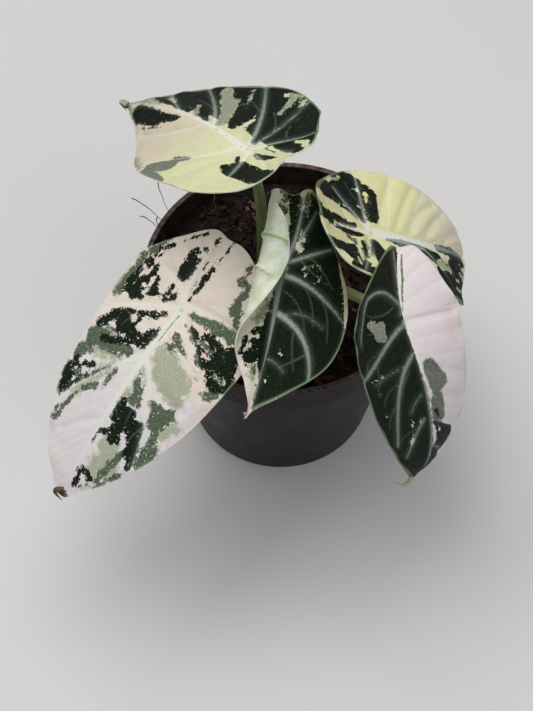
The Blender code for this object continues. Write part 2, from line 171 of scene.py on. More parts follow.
def spine(leaf, along):
    # running sum of the midrib's direction, whose droop and heading change evenly from the joint
    front = along > 0
    step = np.where(front, along / leaf["front"], along / leaf["back"])
    bend = np.where(front, leaf["bend"][0], leaf["bend"][1]) * step
    sweep = np.where(front, leaf["sweep"][0], leaf["sweep"][1]) * step
    heading = np.radians(leaf["heading"] + sweep)
    droop = np.radians(leaf["pitch"] + bend)
    bank = np.radians(leaf["bank"] + np.where(front, leaf["twist"] * step, 0))[:, None]
    flat = np.stack([np.cos(heading), np.sin(heading), 0 * heading], -1)
    ahead = flat * np.cos(droop)[:, None] - np.outer(np.sin(droop), (0, 0, 1))
    level = np.stack([-np.sin(heading), np.cos(heading), 0 * heading], -1)
    rise = np.cross(ahead, level)
    left = level * np.cos(bank) + rise * np.sin(bank)
    up = rise * np.cos(bank) - level * np.sin(bank)
    moves = np.diff(along)[:, None] * (ahead[1:] + ahead[:-1]) / 2
    path = np.concatenate([np.zeros((1, 3)), np.cumsum(moves, 0)])
    zero = [np.interp(0, along, path[:, i]) for i in range(3)]
    return path - zero + leaf["joint"], ahead, left, up


def smoothWidths(widths, angle):
    # Catmull-Rom curve through the half widths, spaced evenly from the notch to the tip
    knots = np.concatenate([[-widths[0], 0], widths, [0, -widths[-1]]])
    place = np.clip(angle / math.pi, 0, 1) * (len(widths) + 1)
    i = np.clip(place.astype(int), 0, len(widths))
    t = place - i
    a, b, c, d = knots[i], knots[i + 1], knots[i + 2], knots[i + 3]
    curve = b + t * (c - a) / 2 + t**2 * (a - 2.5 * b + 2 * c - d / 2)
    return np.maximum(curve + t**3 * (1.5 * (b - c) + (d - a) / 2), 0)


def margin(leaf, half, angle):
    # level runs as minus the cosine of the angle, and the lobes reach back past the notch
    level = -np.cos(angle)
    axis = np.where(level > 0, level * leaf["front"], level * leaf["back"])
    setIn = 1 - np.exp(-((angle / lobeShape["start"]) ** 2))
    reach = lobeShape["size"] * half["lobe"] * setIn * np.exp(-((angle / lobeShape["fade"]) ** 2))
    edge = np.where(level > 0, axis, axis * (1 + reach))
    return axis, edge, smoothWidths(np.array(half["widths"]), angle)


def slope(leaf, half, along, out):
    # mean cosine and sine of the slope from the midrib out to the point, times the distance
    share = np.linspace(0, 1, bladeGrid["slopeSteps"] + 1)
    x = out[..., None] * share / max(half["widths"])
    a = along[..., None]
    fade = half.get("rollFade", (0, 0))
    left = np.where(a > 0, 1 - fade[0] * a / leaf["front"], 1 + fade[1] * a / leaf["back"])
    rolled = half.get("roll", 0) * left * x**2 * (3 - 2 * np.minimum(x, 1))
    angle = np.radians(half["fold"] + half["turn"] * a / leaf["front"] + half["curl"] * x - rolled)
    sides, falls = np.cos(angle), np.sin(angle)
    sideways = out * (sides[..., 1:] + sides[..., :-1]).mean(-1) / 2
    down = out * (falls[..., 1:] + falls[..., :-1]).mean(-1) / 2
    return sideways, down


def bent(leaf, side, along, out):
    # midrib point, plus the half's way sideways, minus its fall
    ends = (-spinePast["notch"] * leaf["back"], spinePast["tip"] * leaf["front"])
    fine = np.sort(np.append(np.linspace(*ends, bladeGrid["spinePoints"]), 0))
    path, _, left, up = spine(leaf, fine)
    sideways, down = slope(leaf, leaf[side], along, out)
    sign = 1 if side == "left" else -1

    def at(values):
        return np.stack([np.interp(along, fine, values[:, i]) for i in range(3)], -1)

    return at(path) + sign * at(left) * sideways[..., None] - at(up) * down[..., None]


def upward(leaf, side, along, out):
    # unit normal from small steps along the blade and towards its left
    sign = 1 if side == "left" else -1
    probe = bladeGrid["probe"]
    ahead = bent(leaf, side, along + probe, out) - bent(leaf, side, along - probe, out)
    across = sign * (bent(leaf, side, along, out + probe) - bent(leaf, side, along, out))
    return unit(np.cross(ahead, across))


def bladeSheet(leaf):
    # whole upper surface from the right margin through the midrib to the left margin
    angle = np.linspace(0, math.pi, bladeGrid["stations"])
    share = np.sin(np.linspace(0, math.pi / 2, bladeGrid["strips"] + 1)) * 0.35
    share = share + np.linspace(0, 1, bladeGrid["strips"] + 1) * 0.65
    tops, alongs, outs, ups, edges = [], [], [], [], []
    for side in ("right", "left"):
        axis, edge, width = margin(leaf, leaf[side], angle)
        along = axis[:, None] * (1 - share) + edge[:, None] * share
        out = width[:, None] * share
        tops.append(bent(leaf, side, along, out))
        ups.append(upward(leaf, side, along, out))
        alongs.append(along)
        outs.append(out if side == "left" else -out)
        edges.append((width[:, None] - out) * np.sin(angle)[:, None])
    middle = unit(ups[0][:, 0] + ups[1][:, 0])
    ups[1][:, 0] = middle
    ups[0][[0, -1]] = ups[1][[0, -1]] = middle[[0, -1], None]

    def joined(pair):
        return np.concatenate([pair[0][:, :0:-1], pair[1]], 1)

    return joined(tops), joined(ups), joined(alongs), joined(outs), joined(edges)


# Blade markings, in millimetres along the midrib from the joint and out to the left (negative: right).
# A vein or a thread is start, middle and end point, then its half width at both ends. A dab is start and end
# point, then its half width at both ends. dark is deep green, light is free of it, grey is
# grey-green, tint is pale green, blush is pinker, and a crease is a fine green line. The furrows are
# the side veins, spacing apart in millimetres, and puff is the rise of the flesh between them.

# On most leaves the furrow colour is painted shade along the valleys of the side veins; on the right leaf it
# is the lighter colour of its pale veins.
marks = {
    "back_left": {
        "midrib": (0, 0, 30, 0, 87, 0, 2.3, 0.5),
        "veins": [
            (1, 2, 6, 13, 10, 28, 0.5, 0.3), (4, 2, 16, 15, 37, 26, 1.1, 0.4),
            (28, 2, 42, 10, 62, 14, 0.7, 0.3), (-2, 1, -4, 8, -6, 16, 0.9, 0.4),
            (-2, 0, -9, 1, -16, 5, 0.8, 0.3), (-1, -3, -2.5, -15, -11, -25, 1.0, 0.5),
            (1, -3, 4.5, -16, 8, -37, 0.8, 0.4), (3, -3, 15, -18, 31, -34, 1.1, 0.6),
            (24, -1.5, 37, -12, 54, -22, 1.1, 0.5), (46, -1, 58, -7, 70, -13, 0.7, 0.3),
            (-1, -2, -5, -8, -14, -11, 0.7, 0.3), (60, 0, 68, -4, 78, -7, 0.5, 0.3),
        ],
        "threads": [
            (4, -15, 8, -20, 14, -24, 0.2, 0.05), (-1.5, -18, 2, -22, 4, -30, 0.2, 0.05),
            (18, -22, 22, -22, 27, -24, 0.2, 0.05), (36, -11, 42, -12, 50, -13, 0.2, 0.05),
        ],
        "dark": [
            (-22, 11, -6, 9.5, 4.5, 4.8), (-3, 12.2, -1.4, 12, 2.6, 2.2), (-1.5, 6.5, -0.5, 5, 0.8, 0.6),
            (-14, -1, -6, 0, 1.8, 1.6), (-9, -6.5, -3, -7, 0.7, 0.6), (-14, -22, 50, -26, 12, 22),
            (-20, -10, -6, -13, 3, 3), (3, -6, 8, -12, 1.4, 3), (0, -10, 1, -14, 1.2, 2),
            (29, -1.5, 42, -9, 1.2, 4), (42, -3, 72, -9, 1.6, 5), (16, -4.5, 26, -15, 1.4, 4),
            (43, 3.2, 57, 5.6, 1.2, 3.2), (57, 5.8, 73, 4.6, 3.6, 4.4), (50, 9, 60, 10.4, 0.35, 0.5),
            (61, 10.6, 65, 10.8, 0.4, 0.6),
        ],
        "light": [
            (5, -2.5, 13, -7, 1.2, 1.8), (13, -3, 15, -9, 2.0, 0.8), (14.5, -9, 17.5, -18, 1.2, 0.4),
            (-25, -10.5, -14, -17.5, 0.9, 1.6), (-14, -17.5, -8, -17.8, 1.6, 0.6),
            (-17, -3.5, -9, -4.8, 1.2, 1.0),
            (-9, -4.8, -2, -4.5, 0.9, 0.8), (-12, -8.2, -3, -8.8, 0.9, 0.9), (22, -4, 34, -18, 1.8, 3.6),
            (36, -17, 44, -24, 2.6, 2.6), (36, -2, 44, -9, 0.5, 0.9), (60, -8, 67, -11, 1.2, 1.2),
            (12, -25, 14, -35, 0.8, 1.5), (18, -34, 12, -37, 0.8, 1.2), (27, -21, 33, -29, 0.6, 0.8),
            (9, -33, 10, -37, 0.6, 0.9), (63, -2, 90, -8, 1.6, 6), (-8, 3, -15, 5, 0.5, 0.4),
        ],
        "grey": [(17.8, 17, 23, 20.5, 1.0, 2.6), (23, 25, 31, 28, 5.0, 3.8), (12, 34, 30, 32.5, 1.6, 3.6)],
        "tint": [
            (23, -5, 34, -19, 3, 5), (36, -18, 45, -25, 3.5, 4), (36, -2, 43, -9, 1.5, 1.8),
            (12, -24, 13, -37, 3, 4), (26, -20, 33, -29, 2, 2), (58, -7, 68, -12, 2.5, 2.5),
            (37, 31, 50, 27, 1.2, 2.0), (64, -3, 90, -8, 2, 6), (74, 5, 86, 2, 3, 2),
        ],
        "crease": [(2, 0.9, 28, 0.8, 0.22, 0.12)],
        "blush": [(34, 18, 46, 20, 0.4, 0.8)],
        "pale": (0.63, 0.64, 0.38), "paleTip": (0.63, 0.56, 0.43), "tintColour": (0.25, 0.29, 0.19),
        "greyColour": (0.115, 0.13, 0.10), "deep": (0.005, 0.0075, 0.005), "ragged": 0.7,
        "furrowShadeAndVein": (0.60, 0.62, 0.42), "spacing": 6.0, "puff": 0.00026, "greyRagged": 0.25, "specks": 0.5,
    },
    "front_left": {
        "midrib": (0, 0, 40, 0, 90, 0, 2.3, 0.4),
        "veins": [
            (1, 0.5, 8, 13, 22, 28, 1.2, 0.5), (24, 1.5, 40, 13.5, 66, 20.5, 1.4, 0.5),
            (28, 3, 31, 14, 33, 26, 0.5, 0.3), (-3, 1, -5.8, 12, -7, 28, 1.0, 0.6),
            (0, -2, 6, -13, 16, -28, 1.2, 0.6), (24, -1.5, 36, -11, 58, -25, 1.5, 0.5),
            (-3, -2, -8, -7, -10, -20, 0.8, 0.3), (-3, -1.5, -14, -5.5, -28, -4.8, 1.3, 0.5),
            (66, 20.5, 74, 16, 84, 7, 0.4, 0.4), (54, -1, 60, -8, 68, -15, 0.4, 0.2),
            (31, -8, 34, -18, 36, -28, 0.6, 0.3),
        ],
        "threads": [
            (8, 13, 14, 17, 22, 20, 0.2, 0.05), (34, 9, 40, 8, 50, 9, 0.2, 0.05),
            (46, 16, 52, 14, 60, 13, 0.2, 0.05),
            (6, -13, 12, -16, 20, -18, 0.2, 0.05), (36, -11, 42, -12, 52, -13, 0.2, 0.05),
        ],
        "dark": [
            (-20.5, 0.3, -15, 0.2, 0.9, 1.5), (-15, 0.2, -5, 0, 1.4, 0.5), (-34, 2.2, -21, 0.4, 0.4, 0.3),
            (-31, -4, -27, -5, 1.1, 0.3), (-21, -3.3, -17.5, -3.2, 0.3, 0.4), (-14, -2.6, -9, -2.2, 0.3, 0.2),
            (-21, -9.8, -12, -9.4, 3.3, 3.3), (-25.4, -7.2, -25, -7.2, 1.1, 1.1),
            (-24, -10.4, -20, -10.8, 1.0, 2.5), (-12, -7.5, -9.5, -7.5, 1.2, 0.8),
            (-5.5, -10, -1, -10, 0.9, 1.2), (-3, -6.5, -1, -7, 1.2, 1.2), (1, -9, 1.5, -14, 1.1, 1),
            (-4, -19, 2, -16, 1.2, 2.4), (-8, -22, -3, -22, 1.3, 1.8), (-8, -27, -5, -27, 2, 2.5),
            (0, -23, 6, -24, 2.5, 4), (-2, -29, 7, -28, 1.5, 2.5), (7, -19, 7, -20, 1.5, 1.5),
            (5, -4, 9, -10, 1, 1.4), (8, -6, 12, -15, 1.2, 1.3), (12, -16, 16, -24, 0.9, 1.2),
            (12, -2.5, 20, -3, 0.9, 1.2), (14, -4, 20, -6, 1.5, 2.5), (20, -6, 25, -14, 2, 1.6),
            (25, -14, 29, -22, 1.6, 1.5), (19, -10, 19, -18, 2.2, 4), (16, -13, 14, -13, 1.2, 0.9),
            (17, -19, 18, -25, 3, 2), (22, -25, 25, -28, 2.6, 2), (35, -10.5, 45, -18, 0.5, 0.9),
            (39, -17, 41, -22, 1, 1.3), (45, -25, 55, -27, 3, 2), (42, -27, 50, -29, 1.5, 2),
            (47, -20, 57, -26, 1, 1.5), (-20, -21, -16, -25, 1.0, 1.0), (-32, -10, -24, -18, 0.5, 0.4),
            (-16, -26, -11, -26, 0.9, 0.7), (-14, -23.5, -12, -24.5, 0.7, 0.6),
            (1, 27, 12, 30.5, 3, 5), (12, 27, 15, 29, 4, 3.6), (8, 23, 10.5, 18, 5.5, 2.6),
            (3, 22, 1.5, 15, 3.4, 2.0), (6, 16, 3.5, 8, 2.6, 1.4), (3.5, 6.5, 3.3, 5.6, 0.8, 0.5),
            (42, 3.6, 50, 4, 1.7, 2.4), (46, 8, 57, 8, 3.6, 3.3), (48, 13, 60, 17, 3, 3),
            (60, 18.4, 64.5, 18.5, 2.2, 1.5), (57, 4, 58, 1.5, 1.8, 0.9), (59, 0.7, 63, 0.9, 0.25, 0.4),
            (75, 3, 77, 7.5, 1.2, 1.5), (77, 2.4, 83, 3, 1.2, 1.4), (79, 0.8, 76, 0.8, 0.3, 0.3),
            (82, 5, 81, 7, 0.6, 0.4),
        ],
        "light": [
            (-24, -7, -22, -8, 0.8, 0.9), (5, 20, 4.5, 14, 1.4, 1), (8, 20, 9, 17, 0.6, 0.5),
            (12.5, 31, 12, 26, 1.0, 1.0), (56, 12, 54, 10, 1.0, 0.6), (2, -21, 2, -22, 0.8, 0.8),
            (-3, -20, -2, -21, 0.7, 0.7), (-2, -26, -4, -28, 0.7, 0.8), (24, -19, 23, -23, 0.6, 1),
            (46, -22, 46, -24, 1.3, 1.3), (79, 5.5, 80.5, 6.5, 1.0, 0.9),
        ],
        "grey": [
            (-4.5, 23, -3, 13, 2.8, 2.3), (-3, 13, -1, 5, 2.3, 1.2), (37, 21, 42, 19, 3.2, 4.2),
            (37, 14, 38, 20, 1.8, 3), (46, 21, 62, 23, 1.6, 2.8), (52, 24, 58, 24.5, 2, 1.5),
            (9.5, 5.5, 12.5, 12, 1.8, 1.0), (14, 6, 14, 8, 1.6, 1.2), (16, 20, 18, 22, 0.6, 0.6),
            (30, 3, 40, 7, 0.8, 3), (15, 32, 21, 29, 2, 2.4), (-28, 12.5, -22, 13, 0.8, 1.8),
            (-22, 16, -12, 16.5, 1.2, 2.2), (-12, 19, -8, 21, 2, 1.6), (26, -8, 30, -26, 2.6, 4.6),
            (35, -26, 40, -28, 3, 3), (45, -12, 49, -16, 1.8, 1.5), (35, -7.5, 43, -8.5, 1.3, 0.8),
            (52, -18, 66, -21, 0.9, 1.3), (63, -22, 66, -21, 1.5, 1), (66, 12, 76, 10.5, 1.2, 1.4),
            (70, 17, 80, 10.5, 1.5, 0.8), (-8, -31, 12, -31, 2, 2), (-22, -25, -12, -29, 1.6, 2.2),
            (5, 20, 4.5, 14, 1.4, 1), (12.5, 31, 12, 26, 1.4, 1.4), (46, -22, 46, -24, 1.8, 2),
            (7, -21, 8, -24, 1.2, 1.4), (23, -17, 23.5, -23, 0.8, 1.2), (60, 14, 68, 13, 1.2, 1),
        ],
        "tint": [
            (18, 6, 24, 18, 4.5, 5), (24, 10, 30, 20, 5, 4), (60, 8, 70, 12, 4.5, 4.5),
            (34, -22, 31, -10, 3, 2), (40, 27, 46, 22, 2, 3), (34, -10, 52, -19, 2.5, 2.5),
            (-4, -31, 8, -32, 2, 3), (70, 6, 76, 8, 3, 3), (28, 4, 44, 3, 2, 1.5),
        ],
        "crease": [(2, 0.8, 16, 0.7, 0.3, 0.2), (20, 1.1, 24, 1.0, 0.16, 0.12)], "dry": (90.5, 0, 3.2),
        "blush": [(22, 32, 52, 27, 1.0, 2.2), (-8, 6, 10, 20, 2, 4)],
        "pale": (0.76, 0.67, 0.57), "paleTip": (0.72, 0.68, 0.69), "tintColour": (0.42, 0.45, 0.30),
        "greyColour": (0.055, 0.080, 0.044), "deep": (0.004, 0.0085, 0.0035), "ragged": 1.0,
        "furrowShadeAndVein": (0.60, 0.55, 0.50), "spacing": 5.2, "puff": 0.00017, "greyRagged": 0.8, "specks": 0.8,
    },
    "centre": {
        "midrib": (0, -1, 18, -2.2, 57, 1, 2.1, 0.8),
        "veins": [
            (18, 0, 26, 13, 41, 19, 1.3, 0.6), (3, 0, 6, 13, 15, 29.5, 1.2, 0.5),
            (-2, 0, -7, 10, -11.5, 21, 0.9, 0.6), (-3, 0, -14, 3, -30, 6, 1.0, 0.6),
            (-8, 3, -16, 7, -25, 13, 0.6, 0.4), (18, 3, 16.3, 10, 19, 19, 0.2, 0.12),
            (36, 1, 37, 5, 39, 8, 0.3, 0.15), (15, 29.5, 30, 26.5, 41, 19, 0.3, 0.5),
            (41, 19, 49, 11, 57, 2, 0.6, 0.8), (2, -3, 1.5, -12, 5, -22, 0.6, 0.25),
            (-9, -2, -11.5, -10, -9, -24, 0.6, 0.25), (-9, -5, -2, -8, 2, -13, 0.3, 0.2),
            (17, -3, 19, -10, 24, -17, 0.5, 0.2), (42, -1, 43, -6, 46, -11, 0.5, 0.4),
        ],
        "threads": [
            (3, 6, 10, 12, 20, 15, 0.2, 0.05), (24, 8, 30, 9, 38, 12, 0.2, 0.05),
            (7, 16, 14, 20, 24, 22, 0.2, 0.05),
            (-4, 6, 0, 12, 3, 20, 0.2, 0.05), (9, 1, 14, 8, 22, 12, 0.2, 0.05),
            (-6, 10, -2, 16, 4, 22, 0.2, 0.05),
            (30, 15, 34, 11, 38, 6, 0.2, 0.05),
        ],
        "dark": [
            (-14, 12, 30, 12, 12.5, 20), (-30, 0.5, -12, 1.5, 2.5, 1.5), (-22, 3, -16, 4.5, 0.9, 0.8),
            (-30, 12, -14, 17, 3.5, 5), (46, 5, 55, 2, 7, 1.5), (-27, 9, -18, 11, 0.5, 0.8),
            (24, -5.5, 26.5, -10, 1.3, 1.5), (30, -5.5, 31, -9, 1.4, 2.5), (34, -5, 36, -10, 2.8, 3),
            (29, -13, 36, -14, 0.9, 1.2), (36, -12, 38, -12, 1.5, 1.2), (47, -1.5, 47, -3, 0.5, 0.4),
            (46.5, -7, 47, -8, 0.4, 0.4), (41, -10, 39.5, -12, 0.5, 0.6),
        ],
        "light": [
            (-9, 4.6, -15, 6.2, 1.7, 1.2), (-3, 11, -1, 7, 0.4, 0.5), (1, 9, 2, 8, 0.4, 0.4),
            (-3.5, 14.4, -3, 14.4, 0.7, 0.5), (31, -11, 32, -10, 0.7, 0.4), (-28, 7, -22, 7.5, 1.2, 0.8),
            (33, 5, 33, 6, 0.3, 0.3), (44, 3, 45, 3, 0.3, 0.3), (1, 15, 3, 14, 0.3, 0.2),
        ],
        "grey": [
            (-28, 7, -20, 8, 2.2, 1.8), (-22, 14, -20, 15.5, 1.4, 1.2), (-10, 8, 4, 12, 2.4, 2.8),
            (-30, 2, -14, 6, 2.4, 1.6), (-26, 11, -13, 14, 1.6, 2.2), (6, 10, 10, 20, 1.2, 1.0),
            (-5, 14, 2, 18, 1, 1.4), (41, 11, 45, 7, 1, 1.4), (30, 6, 38, 5, 0.8, 1.2),
            (41, -7.5, 42.5, -9, 1.2, 0.8), (-30, -3, -22, -4, 2, 1.5), (30, -8, 36, -10, 1.0, 1.2),
        ],
        "tint": [
            (-28, 8, -18, 7, 3, 2), (-4, 8, 3, 11, 1.2, 1.5), (-24, 13, -20, 16, 2, 1.5),
            (15, -6, 22, -9, 2, 2), (40, -8, 44, -8, 1.6, 1.6), (20, -4, 30, -4, 1, 1),
        ],
        "crease": [],
        "blush": [(56, -2, 60, 1, 1.5, 1.5)],
        "pale": (0.62, 0.58, 0.42), "paleTip": (0.76, 0.70, 0.62), "tintColour": (0.24, 0.30, 0.10),
        "greyColour": (0.030, 0.062, 0.010), "deep": (0.0022, 0.0065, 0.0015), "ragged": 0.75,
        "furrowShadeAndVein": (0.50, 0.50, 0.36), "spacing": 6.0, "puff": 0.00022, "greyRagged": 1.5, "specks": 0.3,
    },
    "right": {
        "midrib": (0, 0, 26, 0.6, 62, 12, 1.8, 0.6),
        "veins": [
            (-1.2, 1, -1.5, 12, -1.9, 27, 1.1, 0.6), (-1, 2, -8, 10, -17, 17.5, 1.0, 0.6),
            (5, 2, 7.5, 13, 14, 27, 0.6, 0.3), (19, 2, 24, 12, 33, 21, 0.7, 0.3),
            (12, 2.5, 16, 12, 22, 24, 0.25, 0.15), (28, 3, 33, 12, 39, 19, 0.3, 0.15),
            (40, 5, 45, 12, 52, 17, 0.3, 0.15), (-1, -3, -4, -11, -9, -21, 0.8, 0.5),
            (1, -2, 4, -7, 7, -16, 0.8, 0.5), (-1, 0, -12, 1.4, -22, -3, 0.9, 0.5),
            (4, -1.0, 14, -2.2, 26, -2.0, 1.8, 1.0), (2, 1.2, 30, 1.2, 58, 11.5, 1.5, 0.7),
            (26, -1, 40, -10, 52, -18, 0.8, 0.4), (12, -3, 20, -12, 26, -22, 0.7, 0.3),
            (44, 2, 56, -4, 68, -7, 0.5, 0.3),
        ],
        "threads": [
            (-1.5, 12, -6, 16, -10, 22, 0.2, 0.05), (-8, 10, -13, 11, -20, 11, 0.2, 0.05),
            (-4, -11, -9, -13, -14, -14, 0.2, 0.05),
        ],
        "dark": [
            (-13, 22, -4.5, 24, 5, 3.6), (-15, 17, -4.5, 14.5, 5, 5), (-10, 10, -3, 9.5, 3.6, 2.6),
            (0.6, 21.5, 3.4, 17, 1.5, 1.9), (3.2, 16, 3.8, 7.5, 1.8, 1.5), (3.6, 7, 3.2, 5, 1.2, 0.7),
            (-36, 12, -15, 14.5, 4, 4.6), (-1, 24, 1.4, 6, 1.2, 1.5), (-13, 9.6, -2, 6, 1.4, 1.4),
            (-30, 1.5, -19, 2.6, 2.4, 1.9), (-19, 2.8, -7, 2.4, 1.6, 1.0),
            (-34, -2, -20, 0, 2.4, 1.6), (-16, -1.8, -6, -1.8, 2.4, 1.8), (-28, -14, -10, -11, 2.2, 2.6),
            (-15, -14, -9, -18, 3, 3.6), (-6, -7, -6, -13, 1.4, 1.6), (0, -5, 3, -23, 1.8, 5.5),
            (-14, -20, -4, -22, 2, 2.5), (12, -12, 24, -16, 6, 7), (8, -3.6, 26, -3.4, 2.2, 2.8),
            (26, -3.4, 35, -4.6, 2.8, 4.4),
            (36, 2.8, 60, 9, 1.4, 2.8), (40, -12, 64, -6, 8.5, 8.5), (50, 2, 70, 3, 3.5, 3.5),
        ],
        "light": [
            (-27, 4.6, -17, 7.0, 1.7, 2.0), (-17, 7.0, -8, 6.6, 2.0, 1.6), (-8, 6.6, -1, 2.6, 1.6, 0.7),
            (-30, -9.6, -18, -5.6, 2.3, 2.6), (7.2, -4.8, 8.6, -7, 1.4, 1.4), (0.9, 14.5, 0.8, 18, 0.6, 0.8),
            (-9.5, -8.5, -9, -16, 1.2, 0.8), (-4, -9, -2.6, -8, 0.8, 0.8), (37, -5.5, 45, -4.5, 2.4, 1.8),
            (60, 3, 70, 6, 0.8, 1.3), (-18, 21.2, -14, 22, 0.9, 0.8), (-12, -16, -11, -19, 0.7, 0.8),
            (37, 1, 44, 0.6, 0.5, 0.4), (-4, 11.8, -3, 12, 0.5, 0.5), (-14, 23.5, -13, 23, 0.5, 0.3),
            (48, -12, 60, -8, 0.6, 0.5), (52, -4, 60, -1, 0.7, 0.6), (-12, 10.5, -10, 10.5, 0.4, 0.4),
        ],
        "grey": [
            (-32, 13, -18, 17.5, 0.7, 0.6), (-14, -4, -10, -7, 1, 1.5), (-3, -8, 0, -14, 0.8, 1.6),
            (-11, 9.4, -4, 6.8, 0.9, 0.8), (44, -8, 60, -4, 1.2, 1.2), (-30, 19, -22, 20, 0.5, 0.5),
        ],
        "tint": [
            (-30, 14, -20, 17, 1.5, 1.5), (-5, -7, 0, -14, 1.5, 2.2), (36, -5, 46, -4, 3, 3),
            (-13, -17, -9, -18, 1.5, 1.5), (60, 2, 72, 5, 2, 2.4), (-18, 22, -12, 22, 1.6, 1.4),
        ],
        "crease": [],
        "blush": [(44, 14, 56, 12, 3, 3)],
        "pale": (0.69, 0.67, 0.35), "paleTip": (0.70, 0.65, 0.48), "tintColour": (0.32, 0.35, 0.19),
        "greyColour": (0.055, 0.07, 0.05), "deep": (0.005, 0.0075, 0.005), "ragged": 0.5,
        "furrowShadeAndVein": (0.78, 0.80, 0.66), "spacing": 7.6, "puff": 0.00062, "greyRagged": 0.6, "specks": 0.9,
    },
    "front_right": {
        "midrib": (0, 0, 30, 2.6, 88, 0, 0.9, 0.5),
        "veins": [
            (1, 0, 9, -12, 27, -26, 1.1, 0.8), (13, 0, 33, -10.8, 66, -12.5, 1.0, 0.6),
            (42, -1, 56, -6, 74, -8, 0.6, 0.35), (-7, -1, -13, -9, -12, -18, 0.6, 0.7),
            (17, -3, 22, -13, 29, -21, 0.35, 0.2), (30, 0, 35, -4, 41, -6.5, 0.35, 0.15),
            (-3, -1, -15, -0.5, -28, -3, 0.5, 0.4), (0, 1, 0.5, 12, 1, 22, 0.4, 0.25),
            (16, 2, 24, 12, 30, 22, 0.3, 0.2), (44, 3, 52, 10, 62, 16, 0.6, 0.3),
            (33, 3, 38, 12, 44, 19, 0.4, 0.2), (60, 2, 68, 7, 76, 9, 0.5, 0.3),
            (-12, -18, -4, -22, 8, -25, 0.6, 0.3),
        ],
        "threads": [
            (7, -10, 3, -16, 2, -22, 0.2, 0.05), (16, -19, 24, -18, 32, -20, 0.2, 0.05),
            (26, -7.5, 30, -14, 40, -18, 0.25, 0.05), (36, -11, 44, -15, 54, -16, 0.2, 0.05),
            (48, -4, 54, -9, 62, -11.5, 0.2, 0.05), (-6, -4, -4, -12, -6, -20, 0.2, 0.05),
            (12, -16, 16, -22, 24, -24, 0.2, 0.05), (20, -3, 26, -7, 33, -9, 0.2, 0.05),
        ],
        "dark": [
            (-24, -12, 0, -15, 12, 15.4), (0, -15, 30, -17, 15.4, 20.2), (30, -17, 62, -15, 20.2, 17.6),
            (-26, -3, -4, -3.6, 3, 3.4), (60, -9, 92, -3, 10.5, 3.4),
            (50, 6, 60, 9, 1.8, 5.2), (62, 8, 72, 6, 5.5, 4.6), (72, 5, 90, 1.5, 5, 1.5),
            (40, 4.8, 44, 6, 1.0, 0.7), (46, 4.5, 50, 5, 0.8, 1.2), (0, -6, 12, -9, 4, 6),
        ],
        "light": [
            (0.4, -12, 4, -13, 2.5, 3.0), (-1.6, -17.5, 1, -14, 1.5, 2.8), (23, -16, 24, -17, 0.6, 0.5),
            (27, -22, 27.5, -22, 0.5, 0.4), (33, -19, 34, -19, 0.35, 0.3), (53, -6.3, 62, -7.2, 0.35, 0.55),
            (45, -17.5, 46, -17, 0.4, 0.3), (24.5, -18, 26, -21, 0.2, 0.2), (42, -2.5, 45, -3, 0.25, 0.2),
            (44, -6, 48, -6.4, 0.25, 0.3), (51, 5.6, 53, 6, 0.4, 0.4),
        ],
        "grey": [(19, 6, 28, 8.4, 2.6, 4.4), (28, 8.2, 31, 7, 4.0, 2.6), (36, 6.6, 46, 6, 3.2, 3.0)],
        "tint": [
            (30, 6.5, 37, 6.5, 1.2, 1.2), (0, -12, 5, -13, 4, 4.5),
            (-1.6, -18, 2, -15, 3, 4), (25, 9, 30, 9, 1.6, 1.8),
        ],
        "crease": [(-26, 1.6, -16, 2.1, 0.35, 0.5), (-16, 2.1, -4, 0.8, 0.5, 0.2)],
        "blush": [(-2, 21, 9, 20, 2, 3.5), (60, 14, 72, 10, 1, 1.6)],
        "pale": (0.75, 0.67, 0.67), "paleTip": (0.72, 0.64, 0.65), "tintColour": (0.20, 0.235, 0.165),
        "greyColour": (0.105, 0.12, 0.088), "deep": (0.0085, 0.0115, 0.0075), "ragged": 0.45,
        "furrowShadeAndVein": (0.60, 0.54, 0.56), "spacing": 6.4, "puff": 0.00017, "greyRagged": 0.2, "specks": 0.15,
    },
}


def distanceToDab(along, out, dab):
    # distance to the nearest point of a straight stroke, less its half width there
    a0, s0, a1, s1, w0, w1 = dab
    length = max((a1 - a0) ** 2 + (s1 - s0) ** 2, 1e-6)
    t = np.clip(((along - a0) * (a1 - a0) + (out - s0) * (s1 - s0)) / length, 0, 1)
    away = np.hypot(along - a0 - t * (a1 - a0), out - s0 - t * (s1 - s0))
    return away - w0 - t * (w1 - w0)


def nearestDab(along, out, dabs, farthest=20.0):
    nearest = np.full(along.shape, farthest)
    for dab in dabs:
        nearest = np.minimum(nearest, distanceToDab(along, out, dab))
    return nearest


def veinDabs(vein, pieces=14):
    # a vein's quadratic curve through its three points, cut into short strokes
    a0, s0, am, sm, a1, s1, w0, w1 = vein
    t = np.linspace(0, 1, pieces + 1)
    pull = 2 * np.array([am, sm]) - (np.array([a0, s0]) + np.array([a1, s1])) / 2
    curve = np.outer((1 - t) ** 2, (a0, s0)) + np.outer(2 * t * (1 - t), pull) + np.outer(t**2, (a1, s1))
    width = w0 + t * (w1 - w0)
    return [(*curve[i], *curve[i + 1], width[i], width[i + 1]) for i in range(pieces)]


def sideVeins(along, out, leaf):
    # where the side vein through each point leaves the midrib, by halving steps: the veins leave
    # nearly straight back at the notch and lean towards the tip further on
    front, back = leaf["front"] * 1000, leaf["back"] * 1000
    low = np.full(along.shape, -3.0 * back)
    high = np.full(along.shape, 1.5 * front)
    away = np.abs(out)
    for _ in range(22):
        middle = (low + high) / 2
        lean = np.interp(middle, [-back, 0, 0.35 * front, front], [-2.4, -0.12, 1.0, 1.9])
        past = middle + away * lean > along
        high = np.where(past, middle, high)
        low = np.where(past, low, middle)
    return (low + high) / 2


relief = {"veinDepth": 0.00045, "veinReach": 1.1, "wave": 0.0005}
flesh = {"margin": 0.00045, "blade": 0.00060, "midrib": 0.0017, "midribReach": 1.3, "sideRib": 0.0005}


